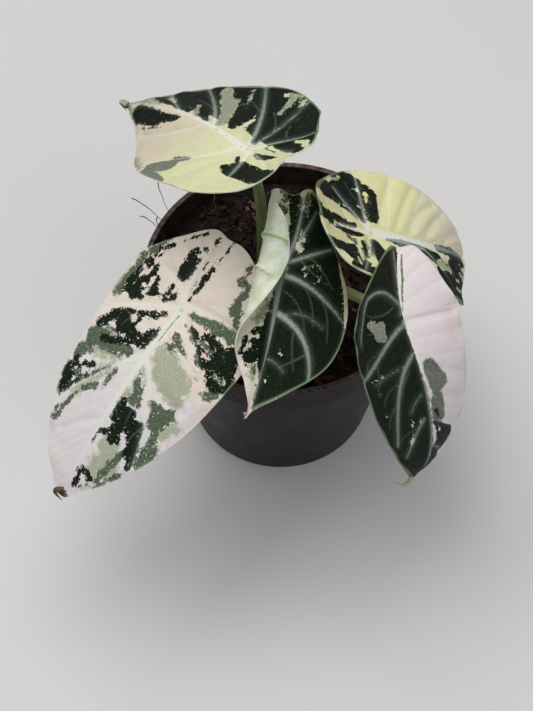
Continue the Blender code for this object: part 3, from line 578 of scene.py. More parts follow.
def makeBlade(name, leaf, mark, material):
    top, up, along, out, edge = bladeSheet(leaf)
    a, s, rim = 1000 * along, 1000 * out, 1000 * edge
    ribs = [dab for vein in mark["veins"] for dab in veinDabs(vein)]
    ribs += veinDabs(mark["midrib"])
    vein = nearestDab(a, s, ribs)
    phase = sideVeins(a, s, leaf) / mark["spacing"]
    puff = np.abs(np.sin(math.pi * phase)) ** 0.7
    clear = np.clip(vein / 2.5, 0, 1) * np.clip(rim / 2.0, 0, 1)
    lift = mark["puff"] * puff * clear
    lift = lift - relief["veinDepth"] * np.exp(-((np.maximum(vein, 0) / relief["veinReach"]) ** 2))
    lift = lift + relief["wave"] * np.sin(a / 3.1 + 2 * np.sin(a / 11)) * np.exp(-rim / 2.5) * (rim > 0)
    body = flesh["margin"] + (flesh["blade"] - flesh["margin"]) * np.clip(rim / 1.5, 0, 1)
    body = body + flesh["midrib"] * np.exp(-((s / flesh["midribReach"]) ** 2)) * np.clip(rim / 3, 0, 1)
    body = body + flesh["sideRib"] * np.exp(-((np.maximum(vein, 0) / 0.6) ** 2)) * np.clip(rim / 3, 0, 1)
    upper = top + up * lift[..., None]
    lower = upper - up * body[..., None]
    obj = addMesh("leafBlade_" + name, *closedSheet(upper, lower), material)
    count = a.size

    def both(values):
        return np.concatenate([values.ravel(), values.ravel()])

    light = nearestDab(a, s, mark["light"])
    setFloat(obj, "dark", both(np.maximum(nearestDab(a, s, mark["dark"]), -light)))
    threads = [dab for thread in mark["threads"] for dab in veinDabs(thread)]
    setFloat(obj, "threads", both(nearestDab(a, s, threads)))
    for tone in ("grey", "tint", "blush", "crease"):
        setFloat(obj, tone, both(nearestDab(a, s, mark[tone])))
    setFloat(obj, "vein", both(vein))
    setFloat(obj, "rim", both(rim))
    setFloat(obj, "phase", both(phase))
    setFloat(obj, "under", np.repeat([0.0, 1.0], count))
    setVector(obj, "flat", np.stack([both(a), both(s), np.repeat([0.0, 60.0], count)], -1))
    tidyMesh(obj)
    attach(obj, "root")
    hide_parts("blade_" + name)
    return obj


def tidyMesh(obj):
    # joins the points that meet at the tip and the notch, and turns all faces outwards
    bm = bmesh.new()
    bm.from_mesh(obj.data)
    bmesh.ops.remove_doubles(bm, verts=bm.verts, dist=1e-6)
    bmesh.ops.dissolve_degenerate(bm, edges=bm.edges, dist=1e-7)
    bmesh.ops.recalc_face_normals(bm, faces=bm.faces)
    bm.to_mesh(obj.data)
    bm.free()


# Node helpers

def newMaterial(name, roughness=0.5, **fixed):
    mat = bpy.data.materials.new(name)
    mat.use_nodes = True
    shader = mat.node_tree.nodes["Principled BSDF"]
    shader.inputs["Roughness"].default_value = roughness
    for key, value in fixed.items():
        shader.inputs[key].default_value = value
    return mat, mat.node_tree, shader


def addNode(tree, kind, inputs=None, **settings):
    node = tree.nodes.new(kind)
    for key, value in settings.items():
        setattr(node, key, value)
    for key, value in (inputs or {}).items():
        if isinstance(value, bpy.types.NodeSocket):
            tree.links.new(value, node.inputs[key])
        else:
            node.inputs[key].default_value = value
    return node


def maths(tree, operation, a, b=0.0, c=0.0):
    return addNode(tree, "ShaderNodeMath", {0: a, 1: b, 2: c}, operation=operation).outputs[0]


def mixColour(tree, factor, a, b):
    node = addNode(tree, "ShaderNodeMix", data_type="RGBA", clamp_factor=True)
    for socket, value in ((0, factor), (6, a), (7, b)):
        if isinstance(value, bpy.types.NodeSocket):
            tree.links.new(value, node.inputs[socket])
        elif socket == 0:
            node.inputs[0].default_value = value
        else:
            node.inputs[socket].default_value = (*value, 1)
    return node.outputs[2]


def ramp(tree, value, low, high, start=0.0, end=1.0, kind="LINEAR"):
    node = addNode(tree, "ShaderNodeMapRange", {"Value": value, "From Min": low, "From Max": high,
                                                "To Min": start, "To Max": end}, interpolation_type=kind)
    return node.outputs[0]


def attribute(tree, name, output="Fac"):
    return addNode(tree, "ShaderNodeAttribute", attribute_name=name).outputs[output]


def newGroup(name, inputs, outputs):
    group = bpy.data.node_groups.new(name, "ShaderNodeTree")
    for label, kind, value in inputs:
        socket = group.interface.new_socket(label, in_out="INPUT", socket_type=kind)
        if value is not None:
            socket.default_value = value
    for label, kind in outputs:
        group.interface.new_socket(label, in_out="OUTPUT", socket_type=kind)
    return group, group.nodes.new("NodeGroupInput"), group.nodes.new("NodeGroupOutput")


def makeRaggedEdge():
    # 1 inside a patch and 0 outside, where the edge is moved in and out by two sizes of noise, and
    # the peaks of a third one leave flecks on both sides of it
    floats = [("Away", "NodeSocketFloat", 0.0), ("Ragged", "NodeSocketFloat", 1.0),
              ("Soft", "NodeSocketFloat", 0.12)]
    group, given, result = newGroup("raggedEdge", [("Place", "NodeSocketVector", None)] + floats,
                                    [("Mask", "NodeSocketFloat")])
    place = given.outputs["Place"]
    coarse = addNode(group, "ShaderNodeTexNoise", {"Vector": place, "Scale": 0.34, "Detail": 2.0})
    fine = addNode(group, "ShaderNodeTexNoise",
                   {"Vector": place, "Scale": 1.5, "Detail": 4.0, "Roughness": 0.68})
    specks = addNode(group, "ShaderNodeTexNoise",
                     {"Vector": place, "Scale": 1.0, "Detail": 2.0, "Roughness": 0.5})
    flecks = maths(group, "SUBTRACT", ramp(group, specks.outputs[0], 0.62, 0.68, 0.0, 2.8),
                   ramp(group, specks.outputs[0], 0.36, 0.30, 0.0, 1.6))
    shift = maths(group, "ADD", ramp(group, coarse.outputs[0], 0.3, 0.7, -1.2, 1.2),
                  ramp(group, fine.outputs[0], 0.3, 0.7, -0.9, 0.9))
    shift = maths(group, "ADD", shift, flecks)
    moved = maths(group, "MULTIPLY_ADD", shift, given.outputs["Ragged"], given.outputs["Away"])
    mask = addNode(group, "ShaderNodeMapRange", {"Value": moved, "To Min": 1.0, "To Max": 0.0})
    group.links.new(given.outputs["Soft"], mask.inputs["From Max"])
    group.links.new(maths(group, "MULTIPLY", given.outputs["Soft"], -1.0), mask.inputs["From Min"])
    group.links.new(mask.outputs[0], result.inputs["Mask"])
    return group


def makeVeinNet():
    # thin lines between cells of two sizes: 1 on a line, 0 inside a cell
    group, given, result = newGroup("veinNet", [("Place", "NodeSocketVector", None)],
                                    [("Lines", "NodeSocketFloat")])
    place = given.outputs["Place"]
    lines = []
    for size, line in ((0.42, 0.09), (1.15, 0.10)):
        cells = addNode(group, "ShaderNodeTexVoronoi", {"Vector": place, "Scale": size},
                        feature="DISTANCE_TO_EDGE")
        lines.append(ramp(group, cells.outputs[0], 0.0, line, 1.0, 0.0))
    weak = maths(group, "MULTIPLY", lines[1], 0.6)
    group.links.new(maths(group, "MAXIMUM", lines[0], weak), result.inputs["Lines"])
    return group


def makeDust():
    # patches of noise on what faces up: Amount 0 leaves it clean and 1 covers it
    floats = [("Amount", "NodeSocketFloat", 0.5), ("Size", "NodeSocketFloat", 200.0)]
    group, given, result = newGroup("dust", [("Place", "NodeSocketVector", None)] + floats,
                                    [("Mask", "NodeSocketFloat")])
    noise = addNode(group, "ShaderNodeTexNoise", {
        "Vector": given.outputs["Place"], "Scale": given.outputs["Size"], "Detail": 4.0, "Roughness": 0.65})
    normal = addNode(group, "ShaderNodeNewGeometry").outputs["Normal"]
    upwards = addNode(group, "ShaderNodeSeparateXYZ", {0: normal}).outputs[2]
    facing = ramp(group, upwards, -0.2, 0.9, 0.25, 1.0)
    total = maths(group, "ADD", noise.outputs[0], given.outputs["Amount"])
    patchy = ramp(group, total, 0.85, 1.15, 0.0, 1.0)
    group.links.new(maths(group, "MULTIPLY", patchy, facing), result.inputs["Mask"])
    return group


raggedEdge = makeRaggedEdge()
veinNet = makeVeinNet()
dust = makeDust()


def dusting(tree, place, amount, size):
    node = addNode(tree, "ShaderNodeGroup", node_tree=dust)
    tree.links.new(place, node.inputs["Place"])
    node.inputs["Amount"].default_value = amount
    node.inputs["Size"].default_value = size
    return node.outputs[0]


bladeTones = {
    "silver": (0.33, 0.37, 0.33), "halo": (0.050, 0.068, 0.050), "paleVein": (0.74, 0.74, 0.66),
    "crease": (0.13, 0.19, 0.09), "underside": (0.60, 0.67, 0.46), "underPale": (0.80, 0.80, 0.70),
    "underVein": (0.26, 0.40, 0.12), "rim": (0.20, 0.26, 0.16), "joint": (0.38, 0.46, 0.14),
    "blush": (0.66, 0.42, 0.36), "speck": (0.060, 0.078, 0.048), "dry": (0.13, 0.075, 0.035),
    "net": (0.42, 0.46, 0.36),
}


def bladeMaterial(name, mark):
    mat, tree, shader = newMaterial("blade_" + name, 0.6)
    place = attribute(tree, "flat", "Vector")

    def patch(tone, ragged, soft):
        node = addNode(tree, "ShaderNodeGroup", {}, node_tree=raggedEdge)
        tree.links.new(place, node.inputs["Place"])
        tree.links.new(attribute(tree, tone), node.inputs["Away"])
        node.inputs["Ragged"].default_value = ragged
        node.inputs["Soft"].default_value = soft
        return node.outputs[0]

    vein = attribute(tree, "vein")
    along = addNode(tree, "ShaderNodeSeparateXYZ", {0: place}).outputs[0]
    fine = addNode(tree, "ShaderNodeTexNoise",
                   {"Vector": place, "Scale": 0.9, "Detail": 5.0, "Roughness": 0.65})
    broad = addNode(tree, "ShaderNodeTexNoise", {"Vector": place, "Scale": 0.06, "Detail": 2.0})
    net = addNode(tree, "ShaderNodeGroup", node_tree=veinNet)
    tree.links.new(place, net.inputs["Place"])
    net = net.outputs[0]
    # pale flesh, pinker or whiter towards the tip, with painted shade in the valleys along the side veins
    # (pale vein lines on the right leaf) and faint clouds
    towardsTip = maths(tree, "ADD", ramp(tree, along, 0, 45, -0.3, 1.1),
                       ramp(tree, broad.outputs[0], 0.3, 0.7, -0.4, 0.4))
    colour = mixColour(tree, towardsTip, mark["pale"], mark["paleTip"])
    # painted shade in the valleys along the side veins, where the puffed flesh dips; on the right leaf a
    # lighter colour, its pale veins
    wave = maths(tree, "SINE", maths(tree, "MULTIPLY", attribute(tree, "phase"), math.pi))
    valley = maths(tree, "ABSOLUTE", wave)
    colour = mixColour(tree, ramp(tree, valley, 0.0, 0.30, 0.45, 0.0), colour, mark["furrowShadeAndVein"])
    clouds = addNode(tree, "ShaderNodeTexNoise", {"Vector": place, "Scale": 0.22, "Detail": 3.0})
    colour = mixColour(tree, ramp(tree, clouds.outputs[0], 0.5, 0.8, 0.0, 0.30), colour,
                       tuple(0.72 * c for c in mark["pale"]))
    blush = maths(tree, "MULTIPLY", patch("blush", 1.6, 2.4), 0.28)
    colour = mixColour(tree, blush, colour, bladeTones["blush"])
    # pale green and grey-green patches, both with a fine net of veins
    tint = patch("tint", 1.1, 0.9)
    tintTone = mixColour(tree, maths(tree, "MULTIPLY", net, 0.45), mark["tintColour"], bladeTones["net"])
    tintTone = mixColour(tree, ramp(tree, fine.outputs[0], 0.35, 0.65, 0.0, 0.6), tintTone,
                         tuple(0.62 * c for c in mark["tintColour"]))
    colour = mixColour(tree, maths(tree, "MULTIPLY", tint, 0.92), colour, tintTone)
    grey = patch("grey", mark["greyRagged"], 0.3)
    greyTone = mixColour(tree, ramp(tree, fine.outputs[0], 0.40, 0.62), mark["greyColour"],
                         tuple(1.6 * c for c in mark["greyColour"]))
    greyTone = mixColour(tree, maths(tree, "MULTIPLY", net, 0.16), greyTone, bladeTones["net"])
    colour = mixColour(tree, grey, colour, greyTone)
    # velvet green, with a broken lighter net
    dark = patch("dark", mark["ragged"] * 0.62, 0.12)
    deep = mixColour(tree, ramp(tree, fine.outputs[0], 0.45, 0.8), mark["deep"],
                     tuple(2.4 * c for c in mark["deep"]))
    deep = mixColour(tree, ramp(tree, clouds.outputs[0], 0.45, 0.75, 0.0, 0.5), deep,
                     tuple(2.2 * c for c in mark["deep"]))
    deep = mixColour(tree, maths(tree, "MULTIPLY", net, 0.022), deep, bladeTones["silver"])
    grains = addNode(tree, "ShaderNodeTexNoise",
                     {"Vector": place, "Scale": 1.7, "Detail": 3.0, "Roughness": 0.6})
    specks = ramp(tree, grains.outputs[0], 0.58, 0.66, 0.0, mark["specks"])
    deep = mixColour(tree, specks, deep, bladeTones["speck"])
    colour = mixColour(tree, dark, colour, deep)
    # veins: a silver core with a wide soft halo on green, nearly white on pale flesh
    green = maths(tree, "MAXIMUM", dark, maths(tree, "MULTIPLY", grey, 0.6))
    worn = maths(tree, "ADD", vein, ramp(tree, fine.outputs[0], 0.35, 0.65, -0.25, 0.25))
    halo = maths(tree, "MULTIPLY", ramp(tree, worn, -0.4, 2.2, 0.75, 0.0, "SMOOTHSTEP"), green)
    colour = mixColour(tree, halo, colour, bladeTones["halo"])
    veinColour = mixColour(tree, green, bladeTones["paleVein"], bladeTones["silver"])
    thread = maths(tree, "MULTIPLY", ramp(tree, attribute(tree, "threads"), -0.2, 0.5, 0.20, 0.0), green)
    colour = mixColour(tree, thread, colour, bladeTones["silver"])
    core = ramp(tree, worn, -1.05, 0.45, 0.95, 0.0, "SMOOTHSTEP")
    colour = mixColour(tree, core, colour, veinColour)
    colour = mixColour(tree, patch("crease", 0.12, 0.1), colour, bladeTones["crease"])
    rimLine = maths(tree, "MULTIPLY", ramp(tree, attribute(tree, "rim"), 0.35, 1.0, 0.9, 0.0), green)
    colour = mixColour(tree, rimLine, colour, bladeTones["rim"])
    fromJoint = addNode(tree, "ShaderNodeVectorMath", {0: place}, operation="LENGTH").outputs["Value"]
    colour = mixColour(tree, ramp(tree, fromJoint, 0.2, 1.6, 0.55, 0.0), colour, bladeTones["joint"])
    if "dry" in mark:
        tipAlong, tipOut, reach = mark["dry"]
        fromTip = addNode(tree, "ShaderNodeVectorMath", {0: place, 1: (tipAlong, tipOut, 0)},
                          operation="DISTANCE")
        uneven = ramp(tree, fine.outputs[0], 0.35, 0.65, -0.8, 0.8)
        near = maths(tree, "ADD", fromTip.outputs["Value"], uneven)
        colour = mixColour(tree, ramp(tree, near, reach - 0.8, reach, 1.0, 0.0), colour, bladeTones["dry"])
    # underside: whitish green with green veins
    tree.links.new(ramp(tree, dark, 0.0, 1.0, 0.24, 0.06), shader.inputs["Specular IOR Level"])
    under = mixColour(tree, ramp(tree, clouds.outputs[0], 0.35, 0.65), bladeTones["underside"],
                      bladeTones["underPale"])
    under = mixColour(tree, ramp(tree, vein, -0.1, 0.5, 0.9, 0.0), under, bladeTones["underVein"])
    under = mixColour(tree, maths(tree, "MULTIPLY", net, 0.12), under, bladeTones["underVein"])
    under = mixColour(tree, maths(tree, "MULTIPLY", dark, 0.20), under, (0.34, 0.42, 0.26))
    colour = mixColour(tree, attribute(tree, "under"), colour, under)
    tree.links.new(colour, shader.inputs["Base Color"])
    height = maths(tree, "ADD", fine.outputs[0], maths(tree, "MULTIPLY", net, -0.5))
    bump = addNode(tree, "ShaderNodeBump", {"Height": height, "Strength": 0.22, "Distance": 0.0003})
    tree.links.new(bump.outputs[0], shader.inputs["Normal"])
    return mat


for bladeName in blades:
    makeBlade(bladeName, blades[bladeName], marks[bladeName], bladeMaterial(bladeName, marks[bladeName]))
    print("blade", bladeName)


# Stalks, drawn-out leaf tips, crown and its sheaths

stalkShape = {"ring": 0.0056, "foot": 0.0027, "tip": 0.0019, "flare": 0.30, "sides": 32, "steps": 90,
              "sink": 0.0021, "streaks": 5.0}
crownShape = {"place": (-0.006, -0.004), "radius": 0.009, "top": 0.094, "foot": 0.062, "sides": 72}
sheathShape = {"length": 0.16, "wide": 235, "thick": 0.0003, "rows": 30, "columns": 40}
# start, control and end point of each drawn-out tip, to half a millimetre
hooks = {
    "back_left": {
        "curve": ((-0.0645, 0.0480, 0.1545), (-0.0695, 0.0515, 0.1550), (-0.0650, 0.0470, 0.1515)),
        "radius": 0.0016, "flat": 0.6, "colour": (0.40, 0.44, 0.30),
    },
    "front_right": {
        "curve": ((0.0530, -0.0895, 0.0845), (0.0505, -0.0950, 0.0785), (0.0435, -0.0900, 0.0850)),
        "radius": 0.0013, "flat": 0.6, "colour": (0.45, 0.47, 0.30),
    },
    "front_left": {
        "curve": ((-0.0880, -0.1010, 0.0950), (-0.0945, -0.1000, 0.0950), (-0.0885, -0.1045, 0.0925)),
        "radius": 0.0014, "flat": 0.8, "colour": (0.13, 0.075, 0.035),
    },
    "centre": {
        "curve": ((-0.0150, -0.0890, 0.1355), (-0.0130, -0.0870, 0.1335), (-0.0155, -0.0900, 0.1330)),
        "radius": 0.0009, "flat": 0.7, "colour": (0.42, 0.26, 0.16),
    },
}


def stalkPath(leaf):
    # cubic Bezier curve from the crown into the blade's midrib
    angle = math.radians(leaf["footAngle"])
    ring = stalkShape["ring"]
    middle = crownShape["place"]
    foot = np.array([middle[0] + ring * math.cos(angle), middle[1] + ring * math.sin(angle),
                     crownShape["top"] - 0.001])
    up = spine(leaf, np.array([-0.0002, 0, 0.0002]))[3][1]
    end = np.array(leaf["joint"]) - up * stalkShape["sink"]
    first, last = foot + leaf["stalkRise"], end + leaf["stalkReach"]
    t = np.linspace(0, 1, stalkShape["steps"])[:, None]
    path = (1 - t) ** 3 * foot + 3 * (1 - t) ** 2 * t * first + 3 * (1 - t) * t**2 * last + t**3 * end
    radius = stalkShape["foot"] + (stalkShape["tip"] - stalkShape["foot"]) * t[:, 0]
    radius = radius * (1 + stalkShape["flare"] * np.exp(-t[:, 0] / 0.07))
    radius = radius * (1 - 0.5 * np.clip((t[:, 0] - 0.965) / 0.035, 0, 1) ** 2)
    return path, radius


def strand(obj, rows, sides):
    # place on a long thin piece: round it, and slowly along it, for streaks that run lengthwise
    around = np.linspace(0, 2 * math.pi, sides, endpoint=False)
    along = np.repeat(np.linspace(0, 1, rows), sides)
    ring = np.stack([np.tile(np.cos(around), rows), np.tile(np.sin(around), rows), along], -1)
    setVector(obj, "strand", np.concatenate([ring, [[0, 0, 0], [0, 0, 1]]]))


def makeStalk(name, leaf, material):
    # tube along the stalk's Bezier curve, thicker at its foot
    path, radius = stalkPath(leaf)
    points, faces = tubeMesh(path, radius, stalkShape["sides"])
    obj = addMesh("leafStalk_" + name, points, faces, material)
    strand(obj, len(path), stalkShape["sides"])
    tidyMesh(obj)
    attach(obj, "root")
    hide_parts("stalk_" + name)


def makeHook(name, hook):
    # flattened tube along a quadratic curve from the blade's tip, narrowing to a point
    start, control, end = np.array(hook["curve"])
    t = np.linspace(0, 1, 26)[:, None]
    way = (1 - t) ** 2 * start + 2 * (1 - t) * t * control + t**2 * end
    radius = hook["radius"] * np.clip((1 - t[:, 0]) * 1.5, 0.08, 1) ** 0.8
    points, faces = tubeMesh(way, radius, 14)
    across = unit(np.cross(control - start, end - control))
    centre = np.concatenate([np.repeat(way, 14, 0), way[[0, -1]]])
    offset = ((points - centre) @ across)[:, None] * across
    points = centre + (points - centre - offset) * hook["flat"] + offset
    mat, tree, shader = newMaterial("leafTip_" + name, 0.5)
    shader.inputs["Specular IOR Level"].default_value = 0.3
    place = addNode(tree, "ShaderNodeTexCoord").outputs["Object"]
    noise = addNode(tree, "ShaderNodeTexNoise", {"Vector": place, "Scale": 900.0, "Detail": 3.0})
    tone = mixColour(tree, ramp(tree, noise.outputs[0], 0.35, 0.7), hook["colour"],
                     tuple(0.55 * c for c in hook["colour"]))
    tree.links.new(tone, shader.inputs["Base Color"])
    obj = addMesh("leafTip_" + name, points, faces, mat)
    tidyMesh(obj)
    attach(obj, "root")


def makeSheath(name, leaf, material):
    # thin sheet part of the way round a stalk's foot, with an oblique papery top
    path, radius = stalkPath(leaf)
    steps = np.linspace(0, sheathShape["length"], sheathShape["rows"])
    index = steps * (len(path) - 1)
    way = np.stack([np.interp(index, np.arange(len(path)), path[:, i]) for i in range(3)], -1)
    size = np.interp(index, np.arange(len(path)), radius)
    half = math.radians(sheathShape["wide"]) / 2
    turn = np.linspace(-half, half, sheathShape["columns"])
    lean = math.radians(leaf["footAngle"] + 180)
    inwards = np.array([math.cos(lean), math.sin(lean), 0])
    ahead = unit(np.gradient(way, axis=0))
    side = unit(np.cross(ahead, inwards))
    toward = np.cross(side, ahead)
    tall = 1 - 0.45 * (turn / half) ** 2
    row = np.arange(len(way))[:, None] * tall[None]

    def along(values):
        return np.stack([np.interp(row, np.arange(len(way)), values[:, i]) for i in range(3)], -1)

    wide = np.interp(row, np.arange(len(way)), size) * 1.06 + 0.0003
    wide = wide * (1 + 0.10 * (row / len(way)) ** 3)
    direction = np.cos(turn)[None, :, None] * along(toward) + np.sin(turn)[None, :, None] * along(side)
    outer = along(way) + direction * (wide + sheathShape["thick"])[..., None]
    inner = along(way) + direction * wide[..., None]
    points, faces = closedSheet(outer, inner)
    obj = addMesh("sheath_" + name, points, faces, material)
    setFloat(obj, "height", np.tile((row / len(way)).ravel(), 2))
    bm = bmesh.new()
    bm.from_mesh(obj.data)
    bmesh.ops.holes_fill(bm, edges=[edge for edge in bm.edges if edge.is_boundary], sides=0)
    bmesh.ops.triangulate(bm, faces=[face for face in bm.faces if len(face.verts) > 4])
    bm.to_mesh(obj.data)
    bm.free()
    tidyMesh(obj)
    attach(obj, "root")


def stalkSkin():
    mat, tree, shader = newMaterial("stalk_green", 0.38)
    shader.inputs["Specular IOR Level"].default_value = 0.4
    place = attribute(tree, "strand", "Vector")
    long = addNode(tree, "ShaderNodeTexNoise",
                   {"Vector": place, "Scale": stalkShape["streaks"], "Detail": 4.0})
    solid = addNode(tree, "ShaderNodeTexCoord").outputs["Object"]
    blotch = addNode(tree, "ShaderNodeTexNoise",
                     {"Vector": solid, "Scale": 420.0, "Detail": 4.0, "Roughness": 0.7})
    colour = mixColour(tree, ramp(tree, long.outputs[0], 0.35, 0.65), (0.125, 0.155, 0.055),
                       (0.21, 0.245, 0.10))
    height = addNode(tree, "ShaderNodeSeparateXYZ", {0: place}).outputs[2]
    colour = mixColour(tree, ramp(tree, height, 0.82, 1.0, 0.0, 0.6), colour, (0.27, 0.33, 0.14))
    low = maths(tree, "MULTIPLY", ramp(tree, height, 0.0, 0.35, 0.75, 0.0),
                ramp(tree, blotch.outputs[0], 0.45, 0.6))
    colour = mixColour(tree, low, colour, (0.13, 0.075, 0.045))
    tree.links.new(colour, shader.inputs["Base Color"])
    bump = addNode(tree, "ShaderNodeBump", {"Height": long.outputs[0], "Strength": 0.25, "Distance": 0.0004})
    tree.links.new(bump.outputs[0], shader.inputs["Normal"])
    return mat


def crownSkin():
    # brown papery rings, drier and paler towards the top of a sheath
    mat, tree, shader = newMaterial("crown_skin", 0.65)
    place = addNode(tree, "ShaderNodeTexCoord").outputs["Object"]
    long = addNode(tree, "ShaderNodeMapping", {"Vector": place, "Scale": (900.0, 900.0, 120.0)})
    noise = addNode(tree, "ShaderNodeTexNoise", {"Vector": long.outputs[0], "Scale": 1.0, "Detail": 4.0})
    colour = mixColour(tree, ramp(tree, noise.outputs[0], 0.35, 0.65), (0.085, 0.045, 0.025),
                       (0.20, 0.125, 0.065))
    dryness = ramp(tree, attribute(tree, "height"), 0.2, 0.9, 0.0, 0.8)
    colour = mixColour(tree, dryness, colour, (0.30, 0.23, 0.12))
    colour = mixColour(tree, dusting(tree, place, 0.42, 500.0), colour, (0.030, 0.018, 0.013))
    tree.links.new(colour, shader.inputs["Base Color"])
    bump = addNode(tree, "ShaderNodeBump", {"Height": noise.outputs[0], "Strength": 0.5, "Distance": 0.0004})
    tree.links.new(bump.outputs[0], shader.inputs["Normal"])
    return mat


def turned(profile, sides, middle=(0, 0)):
    # the profile's points of radius and height, swept round a vertical axis
    turn = np.linspace(0, 2 * math.pi, sides, endpoint=False)
    r, z = np.array(profile, float).T
    x = middle[0] + np.outer(r, np.cos(turn))
    y = middle[1] + np.outer(r, np.sin(turn))
    return np.stack([x, y, np.repeat(z[:, None], sides, 1)], -1)


def makeCrown(material):
    # domed knob with rings of old leaf scars
    t = np.linspace(0, 1, 70)
    z = crownShape["foot"] + (crownShape["top"] - crownShape["foot"]) * t
    r = crownShape["radius"] * np.sqrt(np.clip(1 - ((1 - t) ** 3.0) ** 2, 0, 1))
    r = r * (1 - 0.22 * np.clip((t - 0.82) / 0.18, 0, 1) ** 2) - 0.00025 * (1 + np.sin(t * 75)) * (t > 0.5)
    profile = [(0, z[0]), *zip(np.maximum(r, 0.0002), z), (0, z[-1] + 0.0004)]
    points = turned(profile, crownShape["sides"], crownShape["place"])
    faces = gridFaces(len(profile), crownShape["sides"], True)
    obj = addMesh("crown", points.reshape(-1, 3), faces, material)
    setFloat(obj, "height", np.zeros(points.size // 3))
    tidyMesh(obj)
    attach(obj, "root")
    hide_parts("crown")


stalkMaterial = stalkSkin()
crownMaterial = crownSkin()
for bladeName, leaf in blades.items():
    makeStalk(bladeName, leaf, stalkMaterial)
    makeSheath(bladeName, leaf, crownMaterial)
for bladeName, hook in hooks.items():
    makeHook(bladeName, hook)
makeCrown(crownMaterial)
print("stalks, tips and crown")


# Pot

potShape = {
    "corners": [
        (0.0420, 0.0, 0.0012), (0.0566, 0.0850, 0.0007), (0.0591, 0.0850, 0.0007), (0.0591, 0.0975, 0.0003),
        (0.0600, 0.0979, 0.0004), (0.0600, 0.1000, 0.0006), (0.0576, 0.1000, 0.0006),
        (0.0576, 0.0872, 0.0007), (0.0551, 0.0858, 0.0008), (0.0409, 0.0020, 0.0010),
    ],
    "bottom": 0.038, "floor": 0.002, "sides": 256, "bends": 6,
    "holes": 8, "holeRadius": 0.004, "holeRing": 0.030, "holeSides": 32,
}


def roundedProfile(corners, start, end, bends):
    # each corner is replaced by a quadratic curve that starts and ends at its rounding's distance
    knots = [start, *[corner[:2] for corner in corners], end]
    profile = [start]
    t = np.linspace(0, 1, bends)[:, None]
    for i, (r, z, size) in enumerate(corners):
        here = np.array([r, z])
        before = here + unit(np.array(knots[i]) - here) * size
        after = here + unit(np.array(knots[i + 2]) - here) * size
        profile += list(map(tuple, (1 - t) ** 2 * before + 2 * (1 - t) * t * here + t**2 * after))
    return profile + [end]


def makePot(material):
    # the rounded wall profile swept round, with both flat faces of its floor filled in around round holes
    shape = potShape
    start, end = (shape["bottom"], 0.0), (shape["bottom"], shape["floor"])
    profile = roundedProfile(shape["corners"], start, end, shape["bends"])
    wall = turned(profile, shape["sides"])
    points, faces = [wall.reshape(-1, 3)], gridFaces(len(profile), shape["sides"], True).tolist()
    ring = np.array([(shape["holeRadius"], 0.0), (shape["holeRadius"], shape["floor"])])
    count = wall.size // 3
    for i in range(shape["holes"]):
        angle = 2 * math.pi * (i + 0.5) / shape["holes"]
        middle = (shape["holeRing"] * math.cos(angle), shape["holeRing"] * math.sin(angle))
        hole = turned(ring, shape["holeSides"], middle)
        points.append(hole.reshape(-1, 3))
        faces += (gridFaces(2, shape["holeSides"], True) + count).tolist()
        count += hole.size // 3
    obj = addMesh("pot", np.concatenate(points), faces, material)
    bm = bmesh.new()
    bm.from_mesh(obj.data)
    for height in (0.0, shape["floor"]):
        loops = [e for e in bm.edges if e.is_boundary and all(abs(v.co.z - height) < 1e-6 for v in e.verts)]
        bmesh.ops.triangle_fill(bm, use_beauty=True, edges=loops)
    bm.to_mesh(obj.data)
    bm.free()
    tidyMesh(obj)
    obj.data.shade_smooth()
    obj.data.set_sharp_from_angle(angle=math.radians(50))
    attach(obj, "root")
    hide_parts("pot")


